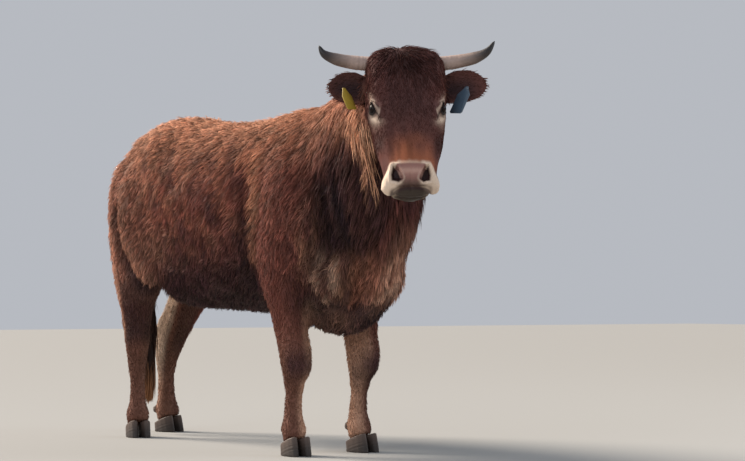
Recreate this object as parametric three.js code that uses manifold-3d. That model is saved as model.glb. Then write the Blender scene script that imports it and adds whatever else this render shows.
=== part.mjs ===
// A life-size standing beef cow with short horns and two ear tags, built as separate body parts.
// Units are millimetres. +X is forwards, +Y is the cow's left and +Z is up; the hooves stand on z = 0.
// Flesh parts are lofts of rounded sections, out to the tips of the coat. Where two parts meet, one is
// cut back from the other. The origin is the middle of the footprint of the whole cow.

import * as THREE from "three";
import { mergeVertices } from "three/addons/utils/BufferGeometryUtils.js";
import Module from "manifold-3d";

const wasm = await Module();
wasm.setup();

// ---------------------------------------------------------------------------------------------
// Driving dimensions
// ---------------------------------------------------------------------------------------------

const GAP = 0.4; // air left between neighbouring parts

// The head hangs from the poll, the top of the skull between the horns.
const HEAD = {
  poll: [1206, -66, 1540],
  yaw: -29.5, // degrees, turned to the cow's right
  pitch: 28, // degrees that the face line swings forwards from hanging straight down
  roll: 1,
};

const EYE = { at: [249, 118, -46], radius: 23 }; // down the face, out to the side, out of the face
const NOSTRIL = { at: [524, 56, -40], reach: [20, 14, 22] };

const TOE_OUT = { fore: 6, hind: 14 }; // degrees that the feet turn outwards
const FEET = {
  fore_right: { x: 590, y: -165 },
  fore_left: { x: 560, y: 160 },
  hind_right: { x: -720, y: -165 },
  hind_left: { x: -985, y: 122 },
};
const HOME = { fore: 590, hind: -720 }; // where a foot stands when its leg drops straight down

const HOOF = { height: 54, slope: 20, split: 3.5, half: 24 }; // the hairline falls from toe to heel
const DEWCLAW = { reach: [15, 12, 19], back: 50, apart: 25, height: 102 };
const SWITCH_TOP = 500; // height at which the tail's long hair begins

// ---------------------------------------------------------------------------------------------
// Lofting
// ---------------------------------------------------------------------------------------------

const X_AXIS = new THREE.Vector3(1, 0, 0);
const Y_AXIS = new THREE.Vector3(0, 1, 0);
const Z_AXIS = new THREE.Vector3(0, 0, 1);

/** A smooth curve through named stations: every number in them becomes a function of `at`. */
class Stations {
  constructor(fields, rows) {
    this.fields = fields;
    const sorted = [...rows].sort((a, b) => a[1] - b[1]);
    this.first = sorted[0][1];
    this.last = sorted.at(-1)[1];
    const places = sorted.map((row) => row[1]);
    const values = sorted.flatMap((row) => row.slice(2));
    this.curve = new THREE.CubicInterpolant(places, values, fields.length);
  }

  read(at) {
    const values = this.curve.evaluate(THREE.MathUtils.clamp(at, this.first, this.last));
    return Object.fromEntries(this.fields.map((field, i) => [field, values[i]]));
  }
}

/** A signed power, which turns a circle's cosine into a superellipse's. */
function swell(value, power) {
  return Math.sign(value) * Math.abs(value) ** power;
}

/**
 * A closed body of rings. `section(station, at)` gives the ring's middle, two unit vectors that span
 * it, its reach to each side (half), above (up) and below (down), how square it is above (round) and
 * below (under), and how far its two sides curl upwards (curl). The ends are rounded over `caps`.
 */
function loft({ stations, section, around, along, caps, grow = 0 }) {
  const start = stations.first - grow;
  const end = stations.last + grow;
  const grid = new THREE.SphereGeometry(1, around, along);
  const spots = grid.getAttribute("position");
  const uv = grid.getAttribute("uv");
  const point = new THREE.Vector3();
  for (let i = 0; i < spots.count; i++) {
    const at = ringPlace(1 - uv.getY(i), start, end, caps);
    const angle = uv.getX(i) * 2 * Math.PI;
    const ring = section(stations.read(at), at);
    const size = ringSize(at, start, end, caps);
    const rise = Math.sin(angle);
    const power = 2 / (rise > 0 ? (ring.round ?? 2) : (ring.under ?? 2));
    const across = swell(Math.cos(angle), power);
    const reach = (rise > 0 ? ring.up : ring.down) + grow;
    point.copy(ring.middle);
    point.addScaledVector(ring.side, (ring.half + grow) * size * across);
    point.addScaledVector(ring.rise, reach * size * swell(rise, power));
    point.addScaledVector(ring.rise, (ring.curl ?? 0) * size * across * across);
    spots.setXYZ(i, point.x, point.y, point.z);
  }
  return grid;
}

/** Where the ring at share t of a loft lies: rings bunch up in the rounded ends. */
function ringPlace(t, start, end, [capStart, capEnd]) {
  const bunch = 0.16;
  if (t < bunch) return start + capStart * (1 - Math.cos(((t / bunch) * Math.PI) / 2));
  if (t > 1 - bunch) return end - capEnd * (1 - Math.cos((((1 - t) / bunch) * Math.PI) / 2));
  const share = (t - bunch) / (1 - 2 * bunch);
  return start + capStart + share * (end - start - capStart - capEnd);
}

/** How much of its full size a ring has near a rounded end. */
function ringSize(at, start, end, [capStart, capEnd]) {
  const inside = Math.min(1, (at - start) / capStart, (end - at) / capEnd);
  return Math.sqrt(Math.max(0, 1 - (1 - inside) ** 2));
}

/** A section at right angles to the X axis whose station gives its top, widest and bottom heights. */
function uprightSection(station, x) {
  return {
    middle: new THREE.Vector3(x, 0, station.wide),
    side: Y_AXIS,
    rise: Z_AXIS,
    half: station.half,
    up: station.top - station.wide,
    down: station.wide - station.bottom,
    round: station.round,
    under: station.under,
  };
}

/** An ellipsoid with its middle at `at`. */
function ellipsoid(reach, at, around = 12, along = 8) {
  return new THREE.SphereGeometry(1, around, along).scale(...reach).translate(...at);
}

// ---------------------------------------------------------------------------------------------
// Solids
// ---------------------------------------------------------------------------------------------

/** A closed geometry as a solid that can be joined and cut. */
function solidOf(geometry) {
  const bare = geometry.clone();
  bare.deleteAttribute("normal");
  bare.deleteAttribute("uv");
  const merged = mergeVertices(bare, 1e-3);
  const triVerts = keptTriangles(merged.index.array);
  const vertProperties = new Float32Array(merged.getAttribute("position").array);
  const facing = new wasm.Manifold(new wasm.Mesh({ numProp: 3, vertProperties, triVerts }));
  if (facing.volume() > 0) return facing;
  for (let i = 0; i < triVerts.length; i += 3) {
    [triVerts[i + 1], triVerts[i + 2]] = [triVerts[i + 2], triVerts[i + 1]];
  }
  return new wasm.Manifold(new wasm.Mesh({ numProp: 3, vertProperties, triVerts }));
}

/** Leaves out triangles that have lost a corner in the merge, such as those at a pole. */
function keptTriangles(index) {
  const kept = [];
  for (let i = 0; i < index.length; i += 3) {
    const [a, b, c] = [index[i], index[i + 1], index[i + 2]];
    if (a !== b && b !== c && c !== a) kept.push(a, b, c);
  }
  return new Uint32Array(kept);
}

/** The largest body of a solid, without slivers that a cut can leave beside it. */
function mainBody(solid) {
  return solid.decompose().reduce((best, body) => (body.volume() > best.volume() ? body : best));
}

/** A solid's surface as a geometry. */
function geometryOf(solid) {
  const mesh = solid.getMesh();
  const positions = new Float32Array(mesh.numVert * 3);
  for (let i = 0; i < mesh.numVert; i++) {
    const from = i * mesh.numProp;
    positions.set(mesh.vertProperties.subarray(from, from + 3), i * 3);
  }
  const geometry = new THREE.BufferGeometry();
  geometry.setAttribute("position", new THREE.BufferAttribute(positions, 3));
  geometry.setIndex(new THREE.BufferAttribute(mesh.triVerts, 1));
  return geometry;
}

/** The half of space above or below a level, filled as far as the cow reaches. */
function beyondLevel(height, above) {
  const size = 5000;
  const box = new THREE.BoxGeometry(size, size, size);
  return solidOf(box.translate(0, 0, height + (above ? size / 2 : -size / 2)));
}

// ---------------------------------------------------------------------------------------------
// Materials and nodes
// ---------------------------------------------------------------------------------------------

const MATERIALS = {
  coat: { color: 0x7a4230, roughness: 0.85 },
  udder: { color: 0xc9a08c, roughness: 0.6 },
  switchHair: { color: 0x4a2a20, roughness: 0.9 },
  horn: { color: 0x8d8074, roughness: 0.5 },
  hoof: { color: 0x5b4a3e, roughness: 0.55 },
  eye: { color: 0x120c0a, roughness: 0.1 },
  blueTag: { color: 0x4d6e80, roughness: 0.5 },
  yellowTag: { color: 0xc9a92c, roughness: 0.5 },
};

const cow = new THREE.Group();

/** Adds one named part, with a material of its own, to a group. */
function addPart(group, name, geometry, finish) {
  const material = new THREE.MeshStandardMaterial({ ...MATERIALS[finish], metalness: 0 });
  const mesh = new THREE.Mesh(geometry, material);
  mesh.name = name;
  group.add(mesh);
}

// ---------------------------------------------------------------------------------------------
// Trunk: chest, barrel, loin and rump
// ---------------------------------------------------------------------------------------------

const TRUNK = new Stations(
  ["top", "wide", "bottom", "half", "round", "under"],
  [
    ["seat", -905, 1235, 1110, 950, 165, 2.2, 2],
    ["pin bones", -800, 1332, 1120, 850, 222, 2.3, 2],
    ["thurls", -640, 1388, 1115, 715, 258, 2.3, 2.4],
    ["hooks", -440, 1403, 1100, 598, 284, 2.3, 2.6],
    ["loin", -220, 1366, 1040, 566, 303, 2.2, 2.2],
    ["barrel", 60, 1348, 980, 550, 320, 2.1, 2.1],
    ["ribs", 280, 1352, 980, 548, 306, 2.0, 2.1],
    ["elbow", 480, 1378, 990, 515, 262, 1.9, 2.1],
    ["shoulder", 630, 1370, 980, 462, 236, 1.9, 2.1],
    ["brisket", 790, 1290, 890, 480, 224, 2.0, 2.1],
    ["breast", 965, 1150, 860, 622, 190, 2.0, 2.0],
  ],
);

function trunkSolid(grow = 0) {
  const shape = { stations: TRUNK, section: uprightSection, around: 24, along: 23 };
  return solidOf(loft({ ...shape, caps: [140, 130], grow }));
}

// ---------------------------------------------------------------------------------------------
// Neck: each station joins a point of the crest to a point of the throat
// ---------------------------------------------------------------------------------------------

const NECK = new Stations(
  ["crestX", "crestY", "crestZ", "throatX", "throatY", "throatZ", "half"],
  [
    ["root", 0, 420, 0, 1345, 600, 0, 640, 200],
    ["withers", 200, 560, 0, 1372, 800, 0, 560, 212],
    ["base", 400, 720, -2, 1410, 985, -6, 690, 208],
    ["middle", 600, 860, -10, 1448, 1092, -24, 860, 186],
    ["upper", 800, 990, -20, 1480, 1138, -48, 1010, 158],
    ["nape", 1000, 1110, -35, 1500, 1176, -66, 1130, 132],
  ],
);

function neckSection(station) {
  const crest = new THREE.Vector3(station.crestX, station.crestY, station.crestZ);
  const throat = new THREE.Vector3(station.throatX, station.throatY, station.throatZ);
  const rise = crest.clone().sub(throat);
  const reach = rise.length() / 2;
  return {
    middle: crest.add(throat).multiplyScalar(0.5),
    side: Y_AXIS,
    rise: rise.normalize(),
    half: station.half,
    up: reach,
    down: reach,
  };
}

function neckSolid(grow = 0) {
  const shape = { stations: NECK, section: neckSection, around: 18, along: 13 };
  return solidOf(loft({ ...shape, caps: [100, 80], grow }));
}

// ---------------------------------------------------------------------------------------------
// Head, in its own frame: +X runs down the face, +Y is left and +Z stands out of the face
// ---------------------------------------------------------------------------------------------

const SKULL = new Stations(
  ["top", "wide", "bottom", "half", "round", "under"],
  [
    ["poll", -51, -30, -90, -150, 118, 2.4, 2],
    ["horns", 20, 0, -85, -195, 147, 2.6, 2],
    ["brow", 110, 8, -80, -222, 150, 2.6, 2.1],
    ["temples", 190, 8, -75, -230, 146, 2.6, 2.1],
    ["eyes", 250, 4, -72, -222, 139, 2.5, 2.1],
    ["cheeks", 300, -2, -88, -200, 129, 2.3, 2.3],
    ["bridge", 360, -10, -94, -172, 122, 2.2, 2.4],
    ["nose", 425, -17, -90, -148, 110, 2.3, 2.4],
    ["waist", 472, -20, -88, -140, 100, 2.4, 2.3],
    ["nostrils", 512, -22, -92, -140, 107, 2.6, 2.3],
    ["lips", 550, -46, -98, -140, 110, 2.6, 2.3],
    ["end", 584, -80, -105, -132, 82, 2.3, 2.2],
  ],
);

const JAW = new Stations(
  ["top", "wide", "bottom", "half"],
  [
    ["angle", 190, -120, -190, -238, 92],
    ["jaw", 320, -110, -165, -210, 86],
    ["bars", 430, -110, -145, -178, 72],
    ["chin", 520, -115, -150, -182, 74],
    ["lip", 580, -122, -150, -176, 68],
  ],
);

/** Eye and cheek bones stand out beside each eye. */
const FACE_BONES = [
  { reach: [42, 20, 30], at: [205, 126, -42] },
  { reach: [60, 18, 22], at: [305, 108, -72] },
];

function headSolid(grow = 0) {
  const skull = { stations: SKULL, section: uprightSection, around: 22, along: 19 };
  const jaw = { stations: JAW, section: uprightSection, around: 12, along: 9 };
  let head = solidOf(loft({ ...skull, caps: [60, 30], grow }));
  head = head.add(solidOf(loft({ ...jaw, caps: [50, 24], grow })));
  for (const side of [1, -1]) {
    for (const { reach, at } of FACE_BONES) {
      const grown = reach.map((value) => value + grow);
      head = head.add(solidOf(ellipsoid(grown, [at[0], side * at[1], at[2]], 9, 6)));
    }
  }
  return head;
}

/** The head with its nostrils opened and sockets for the eyes. */
function headWithOpenings() {
  let head = headSolid();
  for (const side of [1, -1]) {
    const [eyeX, eyeY, eyeZ] = EYE.at;
    const [noseX, noseY, noseZ] = NOSTRIL.at;
    const socket = ellipsoid(Array(3).fill(EYE.radius + GAP), [eyeX, side * eyeY, eyeZ]);
    head = head.subtract(solidOf(socket));
    head = head.subtract(solidOf(ellipsoid(NOSTRIL.reach, [noseX, side * noseY, noseZ], 9, 6)));
  }
  return mainBody(head);
}

/** The turned frame that carries the head and all that is on it. */
function headFrame() {
  const turn = (axis, degrees) =>
    new THREE.Quaternion().setFromAxisAngle(axis, THREE.MathUtils.degToRad(degrees));
  const frame = new THREE.Group();
  frame.position.set(...HEAD.poll);
  frame.quaternion.copy(turn(Z_AXIS, HEAD.yaw));
  frame.quaternion.multiply(turn(Y_AXIS, 90 - HEAD.pitch)).multiply(turn(X_AXIS, HEAD.roll));
  frame.updateMatrixWorld(true);
  return frame;
}

// ---------------------------------------------------------------------------------------------
// Horns and ears, in the head's frame
// ---------------------------------------------------------------------------------------------

/** A section across a curve, for bodies that follow one. `up` points to the top of the section. */
function curveSection(curve, share, up, sizes) {
  const tangent = curve.getTangent(share);
  const side = up.clone().cross(tangent).normalize();
  return { middle: curve.getPoint(share), side, rise: tangent.clone().cross(side), ...sizes };
}

const HORN_SIZES = new Stations(
  ["radius"],
  [
    ["root", 0, 27],
    ["base", 30, 26.5],
    ["middle", 60, 22.5],
    ["bend", 80, 14],
    ["tip", 100, 4],
  ],
);

/** Horns leave the skull sideways and turn forwards and up; the left one is a little longer. */
const HORN_PATHS = {
  right: [
    [22, -105, -84],
    [21, -155, -82],
    [19, -205, -75],
    [22, -255, -52],
    [14, -299, -30],
    [-14, -319, -15],
  ],
  left: [
    [22, 105, -84],
    [20, 155, -82],
    [16, 205, -75],
    [15, 262, -54],
    [4, 306, -30],
    [-34, 336, -15],
  ],
};

function hornSolid(side, cutter) {
  const curve = new THREE.CatmullRomCurve3(HORN_PATHS[side].map((point) => new THREE.Vector3(...point)));
  const section = ({ radius }, at) =>
    curveSection(curve, at / 100, X_AXIS, { half: radius, up: radius, down: radius });
  const shape = { stations: HORN_SIZES, section, around: 9, along: 12, caps: [2, 2] };
  return mainBody(solidOf(loft(shape)).subtract(cutter));
}

const EAR = {
  root: [142, 105, -126],
  tips: { left: [82, 314, -114], right: [96, 288, -114] },
  sag: 12, // how far the middle of the ear drops below the straight line from root to tip
};
const EAR_SIZES = new Stations(
  ["half", "thick", "curl"],
  [
    ["root", 0, 44, 18, 6],
    ["neck", 25, 56, 13, 16],
    ["wide", 55, 64, 9, 19],
    ["outer", 80, 54, 8, 16],
    ["tip", 100, 28, 7, 10],
  ],
);

function earGeometry(label, grow = 0) {
  const [rootX, rootY, rootZ] = EAR.root;
  const [tipX, tipY, tipZ] = EAR.tips[label];
  const side = label === "left" ? 1 : -1;
  const root = new THREE.Vector3(rootX, side * rootY, rootZ);
  const tip = new THREE.Vector3(tipX, side * tipY, tipZ);
  const bend = root.clone().add(tip).multiplyScalar(0.5).add(new THREE.Vector3(EAR.sag, 0, 0));
  const curve = new THREE.QuadraticBezierCurve3(root, bend, tip);
  const opening = new THREE.Vector3(0.1, side * -0.12, 1).normalize();
  const section = ({ half, thick, curl }, at) =>
    curveSection(curve, at / 100, opening, { half, up: thick, down: thick, curl });
  return loft({ stations: EAR_SIZES, section, around: 11, along: 9, caps: [6, 30], grow });
}

// ---------------------------------------------------------------------------------------------
// Ear tags: a bare plate in front of the ear, a pin through it and a button behind
// ---------------------------------------------------------------------------------------------

const TAGS = {
  tag_blue: { side: 1, pin: [144, 223, -108], width: 64, length: 116, lean: 25, turn: 42 },
  tag_yellow: { side: -1, pin: [150, -226, -108], width: 56, length: 90, lean: -20, turn: -42 },
};
const TAG = {
  thick: 2.6,
  neck: 22, // width of the part that the pin goes through
  shoulder: 24, // from the pin down to the wide body
  corner: 6,
  pin: 4, // radius
  button: 13, // radius
  ahead: 40, // from the middle of the ear to the plate
  behind: 20, // from the middle of the ear to the button
  hang: 12, // degrees that the plate swings back from the line of the face
};

/** The outline of a tag's plate, hanging along +X from its pin: a narrow neck and a wide body. */
function tagOutline(width, length, grow) {
  const half = width / 2 + grow;
  const end = length - TAG.neck / 2 + grow;
  const outline = new THREE.Shape();
  outline.absarc(0, 0, TAG.neck / 2 + grow, Math.PI / 2, (3 * Math.PI) / 2, false);
  outline.lineTo(TAG.shoulder, -half);
  outline.lineTo(end - TAG.corner, -half);
  outline.lineTo(end, -half + TAG.corner);
  outline.lineTo(end, half - TAG.corner);
  outline.lineTo(end - TAG.corner, half);
  outline.lineTo(TAG.shoulder, half);
  return outline;
}

function tagSolid({ pin, width, length, lean, turn }, grow = 0) {
  const rad = THREE.MathUtils.degToRad;
  const depth = TAG.thick + 2 * grow;
  const outline = tagOutline(width, length, grow);
  const plate = new THREE.ExtrudeGeometry(outline, { depth, bevelEnabled: false, curveSegments: 4 });
  plate.translate(0, 0, -depth / 2).rotateX(rad(turn)).rotateY(rad(TAG.hang));
  plate.rotateZ(rad(-lean)).translate(0, 0, TAG.ahead);
  const shaft = new THREE.CylinderGeometry(TAG.pin + grow, TAG.pin + grow, TAG.ahead + TAG.behind, 7);
  shaft.rotateX(Math.PI / 2).translate(0, 0, (TAG.ahead - TAG.behind) / 2);
  const button = new THREE.CylinderGeometry(TAG.button + grow, TAG.button + grow, 3 + 2 * grow, 10);
  button.rotateX(Math.PI / 2).translate(0, 0, -TAG.behind);
  const place = (geometry) => solidOf(geometry.translate(...pin));
  return place(plate).add(place(shaft)).add(place(button));
}

// ---------------------------------------------------------------------------------------------
// Legs: level rings from the body down to the hoof's hairline
// ---------------------------------------------------------------------------------------------

// Rows: name, height, back and front edges from the foot, distance outwards from the foot, half width.
const LEG_FIELDS = ["back", "front", "out", "half"];
const LEGS = {
  fore: new Stations(LEG_FIELDS, [
    ["blade top", 1230, -190, -20, 8, 45],
    ["blade", 1120, -170, 110, 22, 72],
    ["point of shoulder", 960, -160, 218, 34, 88],
    ["upper arm", 860, -175, 228, 36, 90],
    ["elbow", 760, -185, 200, 30, 88],
    ["forearm top", 680, -160, 130, 22, 84],
    ["forearm", 600, -130, 78, 18, 79],
    ["forearm low", 530, -104, 62, 8, 68],
    ["above knee", 450, -80, 76, 4, 62],
    ["knee", 366, -54, 102, 2, 60],
    ["knee foot", 312, -42, 76, 0, 50],
    ["cannon top", 262, -38, 40, 0, 38],
    ["cannon", 205, -39, 30, 0, 35],
    ["cannon low", 150, -48, 32, 0, 39],
    ["fetlock", 104, -56, 48, 0, 47],
    ["pastern", 74, -40, 52, 0, 45],
    ["hairline", 25, -38, 68, 0, 49],
  ]),
  hind: new Stations(LEG_FIELDS, [
    ["rump", 1270, -105, 190, -6, 76],
    ["thigh top", 1140, -165, 300, 10, 102],
    ["thigh", 980, -176, 385, 18, 114],
    ["stifle", 870, -178, 415, 20, 108],
    ["stifle low", 775, -170, 385, 18, 96],
    ["flank", 705, -156, 325, 16, 88],
    ["flank fold", 655, -146, 215, 12, 80],
    ["gaskin", 605, -135, 146, 8, 73],
    ["gaskin low", 560, -127, 122, 4, 66],
    ["hock point", 505, -124, 106, 1, 56],
    ["hock", 430, -108, 82, 0, 50],
    ["hock foot", 350, -78, 60, 0, 43],
    ["cannon top", 290, -50, 38, 0, 36],
    ["cannon", 230, -42, 40, 0, 35],
    ["cannon low", 160, -44, 46, 0, 38],
    ["fetlock", 112, -52, 62, 0, 50],
    ["pastern", 76, -40, 66, 0, 48],
    ["hairline", 25, -38, 68, 0, 49],
  ]),
};

/** The kind of a foot, fore or hind, from its name. */
function kindOf(name) {
  return name.split("_")[0];
}

/** The turned frame that a foot's claws stand in. */
function footFrame(name) {
  const foot = FEET[name];
  const frame = new THREE.Group();
  frame.position.set(foot.x, foot.y, 0);
  frame.rotation.z = Math.sign(foot.y) * THREE.MathUtils.degToRad(TOE_OUT[kindOf(name)]);
  frame.updateMatrixWorld(true);
  return frame;
}

/** Everything above or below the hoof's sloping hairline, in the frame of a foot. */
function beyondHairline(above) {
  const size = 3000;
  const box = new THREE.BoxGeometry(size, size, size);
  box.translate(0, 0, ((above ? 1 : -1) * (size + GAP)) / 2);
  return box.rotateY(-THREE.MathUtils.degToRad(HOOF.slope)).translate(0, 0, HOOF.height);
}

/** A leg in the cow's frame: it leans from its foot to its home place and turns out below the knee. */
function legSolid(name, grow = 0) {
  const kind = kindOf(name);
  const foot = FEET[name];
  const side = Math.sign(foot.y);
  const section = (station, height) => {
    const settle = THREE.MathUtils.smoothstep(height, 250, 900);
    const free = 1 - THREE.MathUtils.smoothstep(height, 400, 800);
    const toe = side * THREE.MathUtils.degToRad(TOE_OUT[kind]) * free;
    const middleX = (station.front + station.back) / 2;
    const x = foot.x + (HOME[kind] - foot.x) * settle + middleX * Math.cos(toe);
    const y = THREE.MathUtils.lerp(foot.y, side * 165, settle) + side * station.out;
    const reach = (station.front - station.back) / 2;
    return {
      middle: new THREE.Vector3(x, y + middleX * Math.sin(toe), height),
      side: Y_AXIS.clone().applyAxisAngle(Z_AXIS, toe),
      rise: X_AXIS.clone().applyAxisAngle(Z_AXIS, toe),
      half: station.half,
      up: reach,
      down: reach,
      round: 2.1,
      under: 2.1,
    };
  };
  const leg = solidOf(loft({ stations: LEGS[kind], section, around: 12, along: 21, caps: [14, 90], grow }));
  const hairline = beyondHairline(true).applyMatrix4(footFrame(name).matrixWorld);
  return leg.intersect(solidOf(hairline));
}

/** One claw in the frame of its foot: flat underneath, drawn in to the toe and the hairline. */
function clawSolid(outward) {
  const stations = new Stations(
    ["toe", "heel", "half"],
    [
      ["below the floor", -40, 92, -36, 22],
      ["sole", 0, 88, -38, 23],
      ["wall", 45, 77, -42, 24],
      ["crown", 105, 58, -44, 23],
    ],
  );
  const section = ({ toe, heel, half }, height) => ({
    middle: new THREE.Vector3((toe + heel) / 2, outward * (HOOF.half + HOOF.split), height),
    side: Y_AXIS,
    rise: X_AXIS,
    half,
    up: (toe - heel) / 2,
    down: (toe - heel) / 2,
    round: 1.9,
    under: 2.6,
  });
  const body = solidOf(loft({ stations, section, around: 12, along: 5, caps: [3, 3] }));
  return body.intersect(solidOf(beyondHairline(false))).intersect(beyondLevel(0, true));
}

/** One of the two small claws behind the fetlock, in the frame of its foot. */
function dewclawGeometry(outward, grow = 0) {
  const reach = DEWCLAW.reach.map((value) => value + grow);
  return ellipsoid(reach, [-DEWCLAW.back, outward * DEWCLAW.apart, DEWCLAW.height], 7, 4);
}

// ---------------------------------------------------------------------------------------------
// Tail and udder
// ---------------------------------------------------------------------------------------------

const TAIL = new Stations(
  ["x", "y", "z", "half", "depth"],
  [
    ["root", 0, -770, 0, 1330, 34, 34],
    ["head", 90, -868, 0, 1318, 33, 30],
    ["bend", 170, -928, 0, 1262, 30, 27],
    ["upper", 330, -944, 0, 1110, 25, 24],
    ["middle", 560, -938, -2, 880, 21, 20],
    ["lower", 780, -922, -5, 660, 19, 18],
    ["end", 960, -908, -8, 480, 18, 17],
  ],
);

const SWITCH = new Stations(
  ["x", "y", "half"],
  [
    ["tip", 140, -902, -14, 14],
    ["locks", 225, -903, -13, 30],
    ["full", 320, -904, -11, 37],
    ["upper", 420, -906, -9, 31],
    ["top", 530, -911, -7, 22],
  ],
);

function tailSolid() {
  const section = ({ x, y, z, half, depth }, at) => {
    const before = TAIL.read(at - 5);
    const after = TAIL.read(at + 5);
    const along = new THREE.Vector3(after.x - before.x, 0, after.z - before.z).normalize();
    return {
      middle: new THREE.Vector3(x, y, z),
      side: Y_AXIS,
      rise: along.cross(Y_AXIS),
      half,
      up: depth,
      down: depth,
    };
  };
  const whole = loft({ stations: TAIL, section, around: 9, along: 14, caps: [20, 2] });
  return solidOf(whole).intersect(beyondLevel(SWITCH_TOP + GAP / 2, true));
}

function switchSolid() {
  const section = ({ x, y, half }, z) => ({
    middle: new THREE.Vector3(x, y, z),
    side: Y_AXIS,
    rise: X_AXIS,
    half,
    up: half * 0.9,
    down: half * 0.9,
  });
  const whole = loft({ stations: SWITCH, section, around: 10, along: 8, caps: [30, 2] });
  return solidOf(whole).intersect(beyondLevel(SWITCH_TOP - GAP / 2, false));
}

const UDDER = { reach: [125, 80, 80], at: [-500, 0, 690] };
const TEAT = { radius: 11, length: 40, top: 640, fore: -450, hind: -540, apart: 36 };

/** A young cow's small udder with its four teats. */
function udderSolid() {
  let udder = solidOf(ellipsoid(UDDER.reach, UDDER.at));
  for (const x of [TEAT.fore, TEAT.hind]) {
    for (const y of [TEAT.apart, -TEAT.apart]) {
      const teat = new THREE.CapsuleGeometry(TEAT.radius, TEAT.length, 2, 7);
      udder = udder.add(solidOf(teat.rotateX(Math.PI / 2).translate(x, y, TEAT.top - TEAT.length / 2)));
    }
  }
  return udder;
}

// ---------------------------------------------------------------------------------------------
// Assembly
// ---------------------------------------------------------------------------------------------

/** Adds the head and all it carries, and gives back a solid that clears room for them elsewhere. */
function addHead(frame) {
  const cutter = headSolid(GAP);
  let room = cutter;
  addPart(frame, "head", geometryOf(headWithOpenings()), "coat");
  for (const [label, side] of [["left", 1], ["right", -1]]) {
    const [eyeX, eyeY, eyeZ] = EYE.at;
    const ball = ellipsoid(Array(3).fill(EYE.radius), [eyeX, side * eyeY, eyeZ]);
    addPart(frame, `eye_${label}`, ball, "eye");
    addPart(frame, `horn_${label}`, geometryOf(hornSolid(label, cutter)), "horn");
    const [tagName, tag] = Object.entries(TAGS).find(([, { side: worn }]) => worn === side);
    const tagRoom = tagSolid(tag, GAP);
    const ear = solidOf(earGeometry(label)).subtract(cutter).subtract(tagRoom);
    addPart(frame, `ear_${label}`, geometryOf(mainBody(ear)), "coat");
    const finish = tagName === "tag_blue" ? "blueTag" : "yellowTag";
    addPart(frame, tagName, geometryOf(tagSolid(tag)), finish);
    room = room.add(solidOf(earGeometry(label, GAP))).add(tagRoom);
  }
  return solidOf(geometryOf(room).applyMatrix4(frame.matrixWorld));
}

/** Adds a leg, its two claws and its two dewclaws. */
function addLeg(name, bodyCutter) {
  const frame = footFrame(name);
  cow.add(frame);
  let leg = legSolid(name).subtract(bodyCutter);
  for (const [label, outward] of [["outer", 1], ["inner", -1]]) {
    const side = outward * Math.sign(FEET[name].y);
    addPart(frame, `${name}_claw_${label}`, geometryOf(clawSolid(side)), "hoof");
    addPart(frame, `${name}_dewclaw_${label}`, dewclawGeometry(side), "hoof");
    leg = leg.subtract(solidOf(dewclawGeometry(side, GAP).applyMatrix4(frame.matrixWorld)));
  }
  addPart(cow, `${name}_leg`, geometryOf(mainBody(leg)), "coat");
}

const head = headFrame();
cow.add(head);
const headRoom = addHead(head);

addPart(cow, "trunk", geometryOf(trunkSolid()), "coat");
const neck = neckSolid().subtract(trunkSolid(GAP)).subtract(headRoom);
addPart(cow, "neck", geometryOf(mainBody(neck)), "coat");

const bodyCutter = trunkSolid(GAP).add(neckSolid(GAP));
let rearCutter = trunkSolid(GAP);
for (const name of Object.keys(FEET)) {
  addLeg(name, bodyCutter);
  if (kindOf(name) === "hind") rearCutter = rearCutter.add(legSolid(name, GAP));
}

addPart(cow, "tail", geometryOf(mainBody(tailSolid().subtract(rearCutter))), "coat");
addPart(cow, "tail_switch", geometryOf(switchSolid()), "switchHair");
addPart(cow, "udder", geometryOf(mainBody(udderSolid().subtract(rearCutter))), "udder");

// The origin moves to the middle of the whole cow's footprint, on the floor.
const bounds = new THREE.Box3().setFromObject(cow, true);
const middle = bounds.getCenter(new THREE.Vector3());
cow.position.set(-middle.x, -middle.y, -bounds.min.z);

export default cow;
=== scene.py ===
"""A standing horned beef cow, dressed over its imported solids.

One skin stands for the parts of flesh and carries a coat of solid tufts. Eyes, horns, hooves, ear tags,
udder and tail hair are pieces of their own. Lengths are in metres, +X is forwards and +Y is the cow's left.
"""

import logging
import math
from contextlib import contextmanager
from dataclasses import dataclass, field
from enum import Enum
from typing import Any, Callable, Iterator, Sequence

import bpy
import numpy as np
from mathutils import Matrix, Vector
from mathutils.bvhtree import BVHTree
from mathutils.kdtree import KDTree


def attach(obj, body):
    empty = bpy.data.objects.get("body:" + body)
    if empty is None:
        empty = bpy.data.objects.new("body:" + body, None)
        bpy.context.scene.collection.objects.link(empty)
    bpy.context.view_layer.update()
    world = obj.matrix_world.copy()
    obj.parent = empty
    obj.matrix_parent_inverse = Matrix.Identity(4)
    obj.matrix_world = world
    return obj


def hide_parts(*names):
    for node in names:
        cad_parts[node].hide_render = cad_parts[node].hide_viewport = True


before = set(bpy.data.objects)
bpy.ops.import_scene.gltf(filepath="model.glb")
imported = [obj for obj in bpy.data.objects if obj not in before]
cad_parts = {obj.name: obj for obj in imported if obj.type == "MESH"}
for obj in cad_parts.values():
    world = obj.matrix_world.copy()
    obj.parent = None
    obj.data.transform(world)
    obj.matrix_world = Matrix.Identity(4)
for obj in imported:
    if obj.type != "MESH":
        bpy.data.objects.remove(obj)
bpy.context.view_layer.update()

log = logging.getLogger("cow")

Array = np.ndarray
Triple = tuple[float, float, float]
Piece = bpy.types.Object

# Where the body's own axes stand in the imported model.
ORIGIN = np.array([-0.18703, 0.00701, 0.0])
FLESH = (
    "trunk", "neck", "head", "fore_right_leg", "fore_left_leg", "hind_right_leg", "hind_left_leg", "tail"
)
EARS = ("ear_left", "ear_right")
# The cow's right and left.
SIDES = (-1.0, 1.0)
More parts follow.
